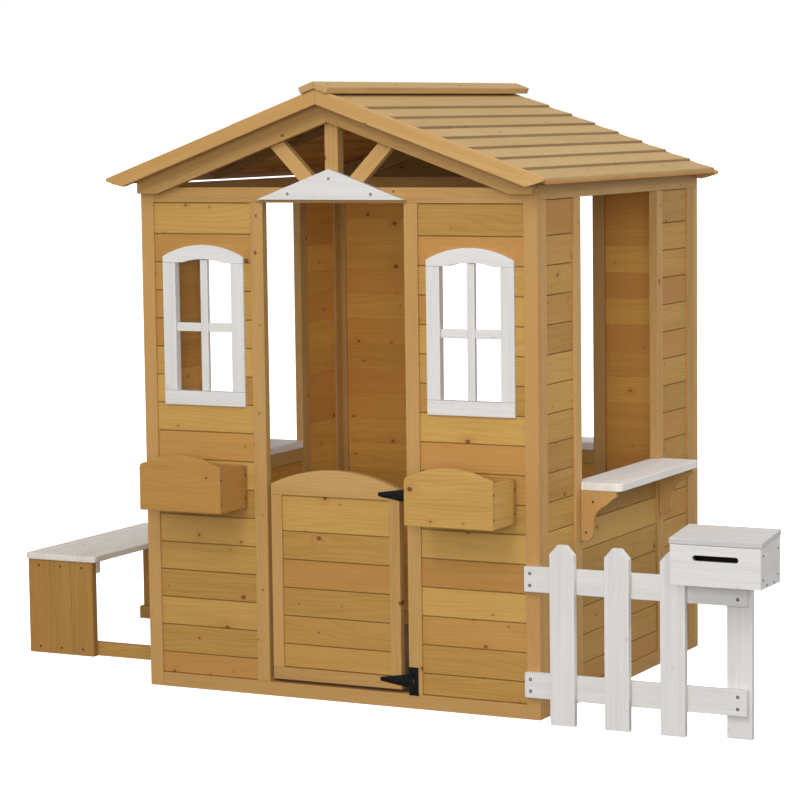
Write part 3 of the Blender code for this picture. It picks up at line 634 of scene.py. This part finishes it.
def side_wall(side, sign):
    low, high = house_box(side + "_wall_frame")
    x = (low.x, high.x)

    def run(first, last):
        return sorted((from_front(first, sign), from_front(last, sign)))

    head = SIDE_TOP - STOCK
    sill = house_box(side + "_counter")[0].z - GAP
    front_end, rear_end = (low.y, high.y) if sign > 0 else (DEPTH - high.y, DEPTH - low.y)
    wall = Piece(side + "_wall_timbers", FRAMING, side + "_wall_frame")
    for first, last in ((front_end, FRONT_BAY[0]), (FRONT_BAY[1], OPENING[0]), (OPENING[1], REAR_BAY[0]),
                        (REAR_BAY[1], rear_end)):
        wall.box(x, run(first, last), (STOCK + HAIR, head - HAIR), "z")
    for z in ((0.0, STOCK), (head, SIDE_TOP)):
        wall.box(x, run(front_end, rear_end), z, "y")
    wall.box(x, run(OPENING[0] + HAIR, OPENING[1] - HAIR), (sill - STOCK, sill), "y")
    wall.done()
    outer = sign * (HALF_WIDTH - SETBACK)
    places = ("front", "rear", "lower") if sign > 0 else ("rear", "front", "lower")
    bays = ((FRONT_BAY, head), (REAR_BAY, head), (OPENING, sill - STOCK))
    for place, ((first, last), top) in zip(places, bays):
        infill("%s_boards_%s" % (side, place), "x", *run(first + HAIR, last - HAIR), STOCK + HAIR, top - HAIR,
               outer, -sign, "%s_cladding_%s" % (side, place))


def rear_wall():
    low, high = house_box("rear_wall_frame")
    inner = HALF_WIDTH - STOCK
    sill = house_box("rear_counter")[0].z - GAP
    wall = end_frame("rear", (low.y, high.y), REAR_OPENING, REAR_JAMB)
    wall.box((-REAR_OPENING + HAIR, REAR_OPENING - HAIR), (low.y, high.y), (sill - STOCK, sill), "x")
    wall.done()
    for place, first, last, top in (("left", -inner, -REAR_JAMB, FRONT_HEAD),
                                    ("right", REAR_JAMB, inner, FRONT_HEAD),
                                    ("lower", -REAR_OPENING, REAR_OPENING, sill - STOCK)):
        infill("rear_boards_" + place, "y", first + HAIR, last - HAIR, RAIL + HAIR, top - HAIR,
               DEPTH - SETBACK, -1, "rear_cladding_" + place)


# ---- counters and brackets
SHELF = (0.226, 0.710)  # ends of a side counter, from the front
REAR_SHELF = (-0.245, 0.245)
BRACKET = 0.012


def turned(centre, radius, degrees):
    """Points of a circle at the given angles."""
    return [(centre[0] + radius * math.cos(a), centre[1] + radius * math.sin(a))
            for a in map(math.radians, degrees)]


def quarter(u, v, radius, start):
    return turned((u, v), radius, range(start, start + 91, 15))


def counter(name, placed, ends, opening, grain):
    """A shelf with a tongue into the opening. placed turns (along, out) to a point of the plan."""
    reach = 0.098
    radius = 0.018
    first, last = ends
    left, right = opening[0] + GAP, opening[1] - GAP
    plan = [(first, GAP), (left, GAP), (left, -THICK), (right, -THICK), (right, GAP), (last, GAP)]
    plan += quarter(last - radius, reach - radius, radius, 0)
    plan += quarter(first + radius, reach - radius, radius, 90)
    cut(COUNTER_PAINTED_LIGHT, name, [placed(u, v) for u, v in plan], "z", grain, 0.0022)


def scroll(wall_out):
    """Bracket outline: (distance from the wall, height), a cove between two rounded noses."""
    points = [(0.0, 0.366), (0.005, 0.3643), (0.010, 0.364), (0.016, 0.365), (0.021, 0.368), (0.026, 0.374),
              (0.0285, 0.382), (0.029, 0.393), (0.0305, 0.408), (0.034, 0.423), (0.041, 0.4345),
              (0.050, 0.442), (0.059, 0.447), (0.0675, 0.4535), (0.076, 0.4615), (0.082, 0.4655),
              (0.086, 0.4675)]
    top = house_box("right_counter")[0].z - GAP
    return [(wall_out(u), v) for u, v in points + [(0.086, top), (0.0, top)]]


def counters():
    for side, sign in SIDES:
        counter(side + "_counter", lambda u, v, sign=sign: (sign * (HALF_WIDTH + v), from_front(u, sign)),
                SHELF, OPENING, "y")
        for place, near in (("front", SHELF[0]), ("rear", SHELF[1] - BRACKET)):
            name = "%s_bracket_%s" % (side, place)
            bracket = Piece(name + "_board", FRAMING, name if sign > 0 else None)
            y = sorted((from_front(near, sign), from_front(near + BRACKET, sign)))
            bracket.outline(scroll(lambda u, sign=sign: sign * (HALF_WIDTH + GAP + u)), "y", *y, "z", 0.0012)
            bracket.done()
            y_face, facing = (y[0], -1) if y[0] < DEPTH / 2 else (y[1], 1)
            for away, height in ((0.013, 0.385), (0.030, 0.455)):
                screw((sign * (HALF_WIDTH + away), y_face, height), (0, facing, 0))
    counter("rear_counter", lambda u, v: (u, DEPTH + v), REAR_SHELF, (-REAR_OPENING, REAR_OPENING), "x")
    for place, near in (("left", REAR_SHELF[0]), ("right", REAR_SHELF[1] - BRACKET)):
        bracket = Piece("rear_bracket_%s_board" % place, FRAMING)
        bracket.outline(scroll(lambda u: DEPTH + GAP + u), "x", near, near + BRACKET, "z", 0.0012)
        bracket.done()


# ---- roof
RAFTER_BOTTOM = 1.3076  # at the middle
RAFTER_END = 0.4975
EAVE = house_box("roof_deck_right")[1].x


def line(top, x):
    """Height at x of a line along the roof that is top at the ridge."""
    return top - SLOPE * abs(x)


def mirrored(points, sign):
    return [(sign * u, v) for u, v in points]


def slope_grain(sign):
    return Vector((1.0, 0.0, -sign * SLOPE))


def under_slope(sign, start, foot):
    """Outline of a board under one slope, from start at the middle to a foot cut level."""
    top = UNDER - GAP
    return mirrored([(start, top), (start, RAFTER_BOTTOM), ((RAFTER_BOTTOM - foot) / SLOPE, foot),
                     (RAFTER_END, foot), (RAFTER_END, line(top, RAFTER_END))], sign)


def roof_planks(side, sign):
    """Lapped planks. Each has painted shadow at its lower end, except at the eave, and painted shade on its
    underside.
    """
    count = 8
    pitch = 0.0626
    lower_end = (0.0105, 0.0242)  # a plank's two faces, above the roof's underside
    upper_end = (0.0045, 0.0185)
    core = UNDER + 0.0145  # between the faces, at either end
    low, high = house_box("roof_deck_" + side)
    deck = Piece("roof_planks_" + side, ROOFING_PAINTED_SHEEN, "roof_deck_" + side)
    for number in range(count):
        near = EAVE - number * pitch
        far = near - pitch + HAIR if number < count - 1 else 0.0004

        # Painted shadow (1) on the butt at the plank's lower end; painted shade (-1, the inside tint) on the
        # underside.
        def shade(point, near=near):
            if near < EAVE and abs(abs(point.x) - near) < 0.0004:
                return 1
            return -1 if point.z < line(core, point.x) else 0

        section = [(near, line(UNDER + lower_end[1], near)), (far, line(UNDER + upper_end[1], far)),
                   (far, line(UNDER + upper_end[0], far)), (near, line(UNDER + lower_end[0], near))]
        wander = deck.random.uniform(0.0, 0.0004)
        deck.outline(mirrored(section, sign), "y", low.y + wander, high.y - wander, "y", 0.0010,
                     painted_shading_at=shade)
    deck.done()


def ridge_board(side, sign):
    low, high = house_box("ridge_cap_" + side)
    thick = 0.015
    top = 1.3975
    reach = 0.0375
    stretch = math.sqrt(1 + SLOPE * SLOPE)
    drop = thick * stretch
    foot = reach - thick * SLOPE / stretch
    cap = Piece("ridge_board_" + side, ROOFING_PAINTED_SHEEN, "ridge_cap_" + side, 0.9)
    cap.outline(mirrored([(GAP / 2, top), (GAP / 2, top - drop), (foot, line(top - drop, foot)),
                          (reach, line(top, reach))], sign), "y", low.y, high.y, "y", 0.0016)
    cap.done()
    for y in (low.y + 0.03, low.y + 0.36, low.y + 0.70, high.y - 0.03):
        screw((sign * 0.021, y, line(top, 0.021)), (sign * SLOPE, 0, 1))


def bargeboards(side, sign):
    top = 1.381
    bottom = 1.347
    tip = 0.548
    barge = [(GAP / 2, top), (GAP / 2, bottom), (0.505, line(bottom, 0.505)), (0.5175, 1.169), (tip, 1.178),
             (tip, line(top, tip))]
    for end, drop in (("front", 0.0), ("rear", 0.009)):
        cut(FRAMING, "bargeboard_%s_%s" % (end, side), mirrored([(u, v - drop) for u, v in barge], sign), "y",
            slope_grain(sign), SMOOTHED, 0.4)


def rear_gable():
    """A border under each slope and level boards between them. The inner half is painted dark as shade."""
    low, high = house_box("rear_gable")
    middle = (low.y + high.y) / 2

    # painted shade over the gable's inner half
    def inside(point):
        return point.y < middle

    border = Piece("rear_gable_border", FRAMING, "rear_gable")
    for sign in (-1, 1):
        border.outline(under_slope(sign, HAIR, low.z), "y", low.y, high.y, slope_grain(sign), SMOOTHED,
                       painted_shading_at=inside)
    border.done()
    panel = Piece("rear_gable_panel", STAINED)
    step = 0.0480
    inset = 0.0052
    peak = RAFTER_BOTTOM - GAP
    level = low.z
    while level < 1.300:
        top = min(level + step, peak - GAP) - HAIR
        wide, narrow = ((peak - height) / SLOPE for height in (level, top))
        panel.outline([(-wide, level), (wide, level), (narrow, top), (-narrow, top)], "y", low.y + inset,
                      high.y - inset, "x", 0.0008, painted_shading_at=inside)
        level += step
    panel.done()


def roof():
    for side, sign in SIDES:
        roof_planks(side, sign)
        ridge_board(side, sign)
        bargeboards(side, sign)
        rafter = "front_rafter_" + side
        foot = house_box(rafter)[0].z
        cut(FRAMING, rafter, under_slope(sign, GAP / 2, foot), "y", slope_grain(sign), SMOOTHED)
    rear_gable()
    # The battens are painted dark all over: painted shade under the roof.
    batten = Piece("roof_battens", FRAMING)
    below = UNDER - 0.012
    end = 0.470
    section = [(HAIR, UNDER), (HAIR, below), (end, line(below, end)), (end, line(UNDER, end))]
    for sign in (-1, 1):
        batten.outline(mirrored(section, sign), "y", 0.275, 0.305, slope_grain(sign), 0.0012,
                       painted_shading_at=lambda point: True)
    batten.done()


def gable():
    low, high = house_box("king_post")
    half = STOCK / 2
    shoulder = line(high.z, half)
    post = [(-half, low.z), (half, low.z), (half, shoulder), (0.0, high.z), (-half, shoulder)]
    cut(FRAMING, "king_post", post, "y", "z", 0.0012)
    lean = math.radians(46)
    base = 0.0461
    across = half / math.sin(lean)
    rise = math.tan(lean)
    top = UNDER - 2 * GAP
    seat = low.z
    feet = (base - across, base + across)
    heads = [(top + rise * foot - seat) / (rise + SLOPE) for foot in feet]
    strut = [(x, seat) for x in feet] + [(x, line(top, x)) for x in heads[::-1]]
    for side, sign in SIDES:
        grain = Vector((sign * math.cos(lean), 0, math.sin(lean)))
        cut(FRAMING, "gable_strut_" + side, mirrored(strut, sign), "y", grain, 0.0012)
    low, high = house_box("gable_plate")
    cut(WHITE, "gable_plate", [(low.x, low.z), (high.x, low.z), (0.0, high.z)], "y", "x", SMOOTHED)
    for x, z in ((0.0, high.z - 0.022), (-0.105, low.z + 0.013), (0.105, low.z + 0.013)):
        screw((x, low.y, z), (0, -1, 0), radius=0.0033)


# ---- half door
def door():
    low, high = house_box("door_frame")
    y = (low.y, high.y)
    stile = 0.027
    left, right = low.x, high.x
    spring = 0.491
    head = 0.4665
    rail_top = low.z + 0.028
    leaf = Piece("door_leaf_timbers", FRAMING, "door_frame", body="door")
    leaf.box((left, right), y, (low.z, rail_top - HAIR), "x")
    for x in ((left, left + stile), (right - stile, right)):
        leaf.box(x, y, (rail_top, head - HAIR), "z")
    leaf.outline([(left, head), (right, head)] + arc(left, right, spring, high.z, 24), "y", *y, "x",
                 SMOOTHED)
    leaf.done()
    boards = Piece("door_boards", STAINED, "door_cladding", body="door")
    low, high = house_box("door_cladding")
    top_seam = 0.383
    seams = [low.z] + [top_seam - PITCH * k for k in range(5)][::-1] + [high.z]
    for floor_z, roof_z in zip(seams, seams[1:]):
        near, far = floor_z + HAIR / 2, roof_z - HAIR / 2
        bevelled, painted_shading_at = v_joint(1, low.y, near, far, 0)
        boards.outline(rectangle(low.x, high.x, near, far), "y", low.y, high.y, "x", GROOVE, bevelled, 1,
                       painted_shading_at)
    boards.done()


def knuckle(length):
    """Profile of one rolled knuckle, standing on its end."""
    radius = 0.0035
    return [(0.0, 0.0), (radius * 0.9, 0.0), (radius, 0.0004), (radius, length - 0.0004),
            (radius * 0.9, length), (0.0, length)]


def hinges():
    """Black tee hinges: strap on the leaf, plate on the jamb, rolled knuckles and a headed pin."""
    axis_x, axis_y = [frame["joints"][0]["pos_m"][i] - ORIGIN[i] for i in (0, 1)]
    middle = 0.0052  # half the strap's knuckle
    reach = 0.014  # half the barrel
    face = -0.0023
    sheet = (face, -GAP)
    pin_head = [(0.0, 0.0), (0.0024, 0.0), (0.0024, 0.0006), (0.0015, 0.0012), (0.0, 0.0013)]
    lower_half = [(0.107, -0.0035), (0.1085, -0.0045), (0.178, -0.015), (0.178, -middle), (axis_x, -middle)]
    strap = lower_half + [(u, -v) for u, v in lower_half[::-1]]
    plate = [(0.1915, -0.032), (0.2015, -0.032), (0.2025, -0.031), (0.2025, 0.031), (0.2015, 0.032),
             (0.180, 0.032), (0.179, 0.031), (0.179, middle + GAP), (0.1912, middle + GAP),
             (0.1912, -middle - GAP), (0.179, -middle - GAP), (0.179, -0.031), (0.180, -0.032)]
    for place in ("lower", "upper"):
        low, high = house_box("hinge_strap_" + place)
        height = (low.z + high.z) / 2
        leaf_side = Piece("hinge_strap_%s_steel" % place, BLACK_STEEL, "hinge_strap_" + place, body="door")
        leaf_side.outline([(u, v + height) for u, v in strap], "y", *sheet, "x", 0.0005)
        leaf_side.lathe(knuckle(2 * middle), (axis_x, axis_y, height - middle), (0, 0, 1), 20)
        leaf_side.done()
        jamb_side = Piece("hinge_plate_%s_steel" % place, BLACK_STEEL, "hinge_plate_" + place)
        jamb_side.outline([(u, v + height) for u, v in plate], "y", *sheet, "z", 0.0005)
        for start in (-reach, middle + GAP):
            jamb_side.lathe(knuckle(reach - middle - GAP), (axis_x, axis_y, height + start), (0, 0, 1), 20)
        for end in (-1, 1):
            jamb_side.lathe(pin_head, (axis_x, axis_y, height + end * reach), (0, 0, end), 16)
        jamb_side.done()
        for x, z in ((0.119, 0.0), (0.142, 0.0), (0.165, 0.0075), (0.165, -0.0075)):
            screw((x, face, height + z), (0, -1, 0), "door", 0.0021)
        for x, z in ((0.1965, 0.0245), (0.1965, -0.0245), (0.1975, 0.0)):
            screw((x, face, height + z), (0, -1, 0), radius=0.0021)


# ---- flower boxes and mailbox
BOX_BOARD = 0.012  # flower box and mailbox boards


def flower_boxes():
    # The left box's deeper tone is painted shade: the light falls off towards the left.
    for side, centre, tone in (("left", -WINDOW_X, 0.75), ("right", WINDOW_X, 0.35)):
        low, high = house_box("flower_box_" + side)
        half = (high.x - low.x) / 2
        rim = 0.530
        box = Piece("flower_box_%s_boards" % side, STAINED, "flower_box_" + side, tone)
        shoulder = [(half, rim - 0.002), (half - 0.0008, rim + 0.0035), (half - 0.0045, rim + 0.0085),
                    (half - 0.0095, rim + 0.0108)]
        front = [(-half, low.z), (half, low.z)] + shoulder + arc(-0.090, 0.090, 0.542, high.z, 18)
        front += mirrored(shoulder, -1)[::-1]
        box.outline([(centre + u, v) for u, v in front], "y", low.y, low.y + BOX_BOARD, "x", SMOOTHED)
        box.box((low.x, high.x), (high.y - BOX_BOARD, high.y), (low.z, rim), "x")
        # Paler back, sides and bottom: painted light on the box's sides.
        box.tone = 0.25
        between = (low.y + BOX_BOARD + HAIR, high.y - BOX_BOARD - HAIR)
        for x in ((low.x, low.x + BOX_BOARD), (high.x - BOX_BOARD, high.x)):
            box.box(x, between, (low.z, rim), "y")
        inside = (low.x + BOX_BOARD + HAIR, high.x - BOX_BOARD - HAIR)
        box.box(inside, between, (low.z, low.z + BOX_BOARD), "x")
        box.done()
        for x, facing in ((low.x, -1), (high.x, 1)):
            for y in (low.y + 0.006, high.y - 0.006):
                for z in (low.z + 0.022, rim - 0.022):
                    screw((x, y, z), (facing, 0, 0), radius=0.0026)


def mailbox_front(low, high, top):
    """The front board in two halves with one grain, which meet in line with the letter slot."""
    slot_z = 0.401
    radius = 0.006
    start, end = low.x + 0.056, high.x - 0.055
    upper = [(low.x, slot_z), (start - radius, slot_z)]
    upper += turned((start, slot_z), radius, range(162, 89, -18))
    upper += turned((end, slot_z), radius, range(90, 17, -18))
    upper += [(end + radius, slot_z), (high.x, slot_z), (high.x, top), (low.x, top)]
    lower = [(low.x, low.z), (high.x, low.z), (high.x, slot_z), (end + radius, slot_z)]
    lower += turned((end, slot_z), radius, range(-18, -91, -18))
    lower += turned((start, slot_z), radius, range(-90, -163, -18))
    lower += [(start - radius, slot_z), (low.x, slot_z)]
    back = low.y + BOX_BOARD

    def rim(middle):
        on_seam = abs(middle.z - slot_z) < TOUCH and not start - radius < middle.x < end + radius
        return min(abs(middle.y - low.y), abs(middle.y - back)) < TOUCH and not on_seam

    # Painted shade: the board's inner face and the slot's rim are painted near black, for the dark inside of
    # the closed box.
    def painted_black_shade(point):
        in_slot = abs(point.z - slot_z) < radius + GAP and start - 2 * radius < point.x < end + 2 * radius
        return 2 if point.y > back - 0.0002 or (in_slot and point.y > low.y + 0.0012) else 0

    front = Piece("mailbox_front_board", WHITE)
    first_draws = front.random.getstate()
    for half in (upper, lower):
        front.random.setstate(first_draws)
        front.outline(half, "y", low.y, back, "x", 0.0010, rim, painted_shading_at=painted_black_shade)
    front.done()


def mailbox():
    low, high = house_box("mailbox_body")
    front_top, rear_top = 0.4277, 0.4423
    back = high.y
    rise = (rear_top - front_top) / (back - low.y)
    inner = 0.9 * BOX_BOARD  # points deeper in a board than this are on its inner face, painted near black as the shade in the box
    box = Piece("mailbox_boards", WHITE, "mailbox_body")
    mailbox_front(low, high, front_top)
    y0, y1 = low.y + BOX_BOARD + HAIR, back - HAIR
    side = [(y0, low.z), (y1, low.z)] + [(y, front_top + rise * (y - low.y)) for y in (y1, y0)]
    # The inner faces of the sides, back and floor are painted near black: painted shade inside the closed
    # box.
    for outer, face in ((low.x, low.x + BOX_BOARD), (high.x, high.x - BOX_BOARD)):
        box.outline(side, "x", *sorted((outer, face)), "y", 0.0012,
                    painted_shading_at=lambda point, face=face: 2 if abs(point.x - face) < 0.0001 else 0)
    between = (low.x + BOX_BOARD + HAIR, high.x - BOX_BOARD - HAIR)
    box.box(between, (back - BOX_BOARD, back), (low.z, rear_top - 0.0015), "x",
            painted_shading_at=lambda point: 2 if point.y < back - inner else 0)
    box.box(between, (y0, back - BOX_BOARD - HAIR), (low.z, low.z + BOX_BOARD), "x",
            painted_shading_at=lambda point: 2 if point.z > low.z + inner else 0)
    box.done()
    tilt = math.atan(rise)
    lift = (-BOX_BOARD * math.sin(tilt), BOX_BOARD * math.cos(tilt))
    hinge = (back, rear_top + GAP)
    length = 0.119
    nose = (hinge[0] - length * math.cos(tilt), hinge[1] - length * math.sin(tilt))
    section = [nose, hinge, (hinge[0] + lift[0], hinge[1] + lift[1]), (nose[0] + lift[0], nose[1] + lift[1])]
    cut(LID_PAINTED_SHADE, "mailbox_lid", section, "x", "x", 0.0016, body="mailbox_lid")
    side_screws = ((low.y + 0.016, front_top - 0.016), (low.y + 0.016, low.z + 0.019),
                   (low.y + 0.037, low.z + 0.006), (low.y + 0.080, low.z + 0.006),
                   (back - 0.015, low.z + 0.019), (back - 0.015, rear_top - 0.026))
    for x, facing in ((low.x, -1), (high.x, 1)):
        for y, z in side_screws:
            screw((x, y, z), (facing, 0, 0), radius=0.0028)


# ---- bench and fence
def bench():
    low, high = house_box("bench_seat")
    radius = 0.015
    plan = []
    for x, y, start in ((high.x - radius, high.y - radius, 0), (low.x + radius, high.y - radius, 90),
                        (low.x + radius, low.y + radius, 180), (high.x - radius, low.y + radius, 270)):
        plan += quarter(x, y, radius, start)
    cut(WASHED, "bench_seat", plan, "z", "y", 0.0026)
    for place, inward in (("front", 1), ("rear", -1)):
        low, high = house_box("bench_leg_" + place)
        face = low.y if inward > 0 else high.y
        # The legs' deep tone is partly their own darker stain, partly painted shade for the light falling off
        # low at the left.
        leg = Piece("bench_leg_%s_boards" % place, STAINED, "bench_leg_" + place, 0.95)
        width = (high.x - low.x) / 3
        y = sorted((face, face + inward * THICK))
        for number in range(3):
            x = (low.x + number * width + HAIR / 2, low.x + (number + 1) * width - HAIR / 2)
            leg.box(x, y, (low.z, high.z), "z", 0.0015)
            for z in (0.016, high.z - 0.015):
                screw((sum(x) / 2, face, z), (0, -inward, 0))
        leg.done()
        behind = sorted((face + inward * (THICK + HAIR), face + inward * (THICK + 0.018)))
        Piece("bench_cleat_" + place, WASHED).box((low.x, high.x), behind, (0.205, high.z), "x").done()
        whole(STAINED, "bench_rail_" + place, "x")


def fence():
    for place in ("top", "bottom"):
        low, high = whole(WHITE, "fence_rail_" + place, "x", 0.0016)
        middle = (low.z + high.z) / 2
        for x in (low.x + 0.014, high.x - 0.020):
            for z in (middle - 0.013, middle + 0.013):
                screw((x, low.y, z), (0, -1, 0), radius=0.0037)
    for number in "123":
        low, high = house_box("fence_picket_" + number)
        middle = (low.x + high.x) / 2
        shoulder = high.z - 0.021
        tip = 0.010  # half the flat end
        picket = [(low.x, low.z), (high.x, low.z), (high.x, shoulder), (middle + tip, high.z),
                  (middle - tip, high.z), (low.x, shoulder)]
        cut(WHITE, "fence_picket_" + number, picket, "y", "z", 0.0016)
    whole(WHITE, "fence_post", "z", 0.0016)


# ---- stage
CAMERA_PLACE = (3.0096, -5.5799, 1.3248)
CAMERA_TURN = (27.018, 5.758, -0.7203)  # azimuth, pitch down and roll in degrees
LENS = 127.87
SKY = 0.45  # radiance overhead, against 1 at the horizon
GROUND = 0.12  # and from the ground


def camera():
    data = bpy.data.cameras.new("camera")
    data.lens = LENS
    obj = in_scene("camera", data)
    azimuth, pitch, roll = map(math.radians, CAMERA_TURN)
    level = math.cos(pitch)
    ahead = Vector((-math.sin(azimuth) * level, math.cos(azimuth) * level, -math.sin(pitch)))
    side = Vector((math.cos(azimuth), math.sin(azimuth), 0.0))
    up = side.cross(ahead)
    right = side * math.cos(roll) + up * math.sin(roll)
    top = up * math.cos(roll) - side * math.sin(roll)
    turn = Matrix((right, top, -ahead)).transposed().to_4x4()
    obj.matrix_world = Matrix.Translation(ORIGIN + Vector(CAMERA_PLACE)) @ turn
    bpy.context.scene.camera = obj


def light(name, at, aim, size, power):
    data = bpy.data.lights.new(name, "AREA")
    data.shape = "DISK"
    data.size = size
    data.energy = power
    obj = in_scene(name, data)
    obj.location = at
    obj.rotation_euler = (Vector(aim) - Vector(at)).to_track_quat("-Z", "Y").to_euler()


def studio_world():
    """Soft surround: white at the horizon, dimmer overhead and from below."""
    world = bpy.data.worlds.new("studio")
    bpy.context.scene.world = world
    world.use_nodes = True
    n = Nodes(world)
    split = n.add("SeparateXYZ")
    n.plug(n.add("TexCoord").outputs["Generated"], split.inputs[0])
    height = split.outputs[2]
    above = n.ramp(height, 0.08, 0.40, 1.0, SKY)
    below = n.ramp(height, -0.02, -0.20, 1.0, GROUND)
    background = world.node_tree.nodes["Background"]
    background.inputs["Color"].default_value = (1.0, 1.0, 1.0, 1.0)
    n.plug(n.times(above, below), background.inputs["Strength"])


def studio():
    floor_mesh = bpy.data.meshes.new("floor")
    shape = bmesh.new()
    bmesh.ops.create_circle(shape, cap_ends=True, segments=96, radius=400.0)
    shape.to_mesh(floor_mesh)
    shape.free()
    floor_mesh.materials.append(plain_floor())
    floor = in_scene("floor", floor_mesh)
    floor.location.z = -0.001
    floor.visible_diffuse = False
    floor.visible_glossy = False
    studio_world()
    light("key", (0.6, -4.2, 3.7), (0.1, 0.0, 1.0), 2.5, 86.0)
    light("fill", (2.7, -6.2, 1.5), (0.0, 0.0, 0.8), 2.0, 150.0)
    light("side", (3.8, 0.5, 3.2), (0.4, 0.4, 0.9), 2.0, 44.0)
    light("top", (0.9, 0.9, 5.2), (0.0, 0.3, 0.0), 3.0, 50.0)
    bpy.context.scene.view_settings.view_transform = "Standard"


front_wall()
for side, sign in SIDES:
    side_wall(side, sign)
rear_wall()
counters()
roof()
gable()
door()
hinges()
flower_boxes()
mailbox()
bench()
fence()
for collected in screws.values():
    collected.done()
camera()
studio()
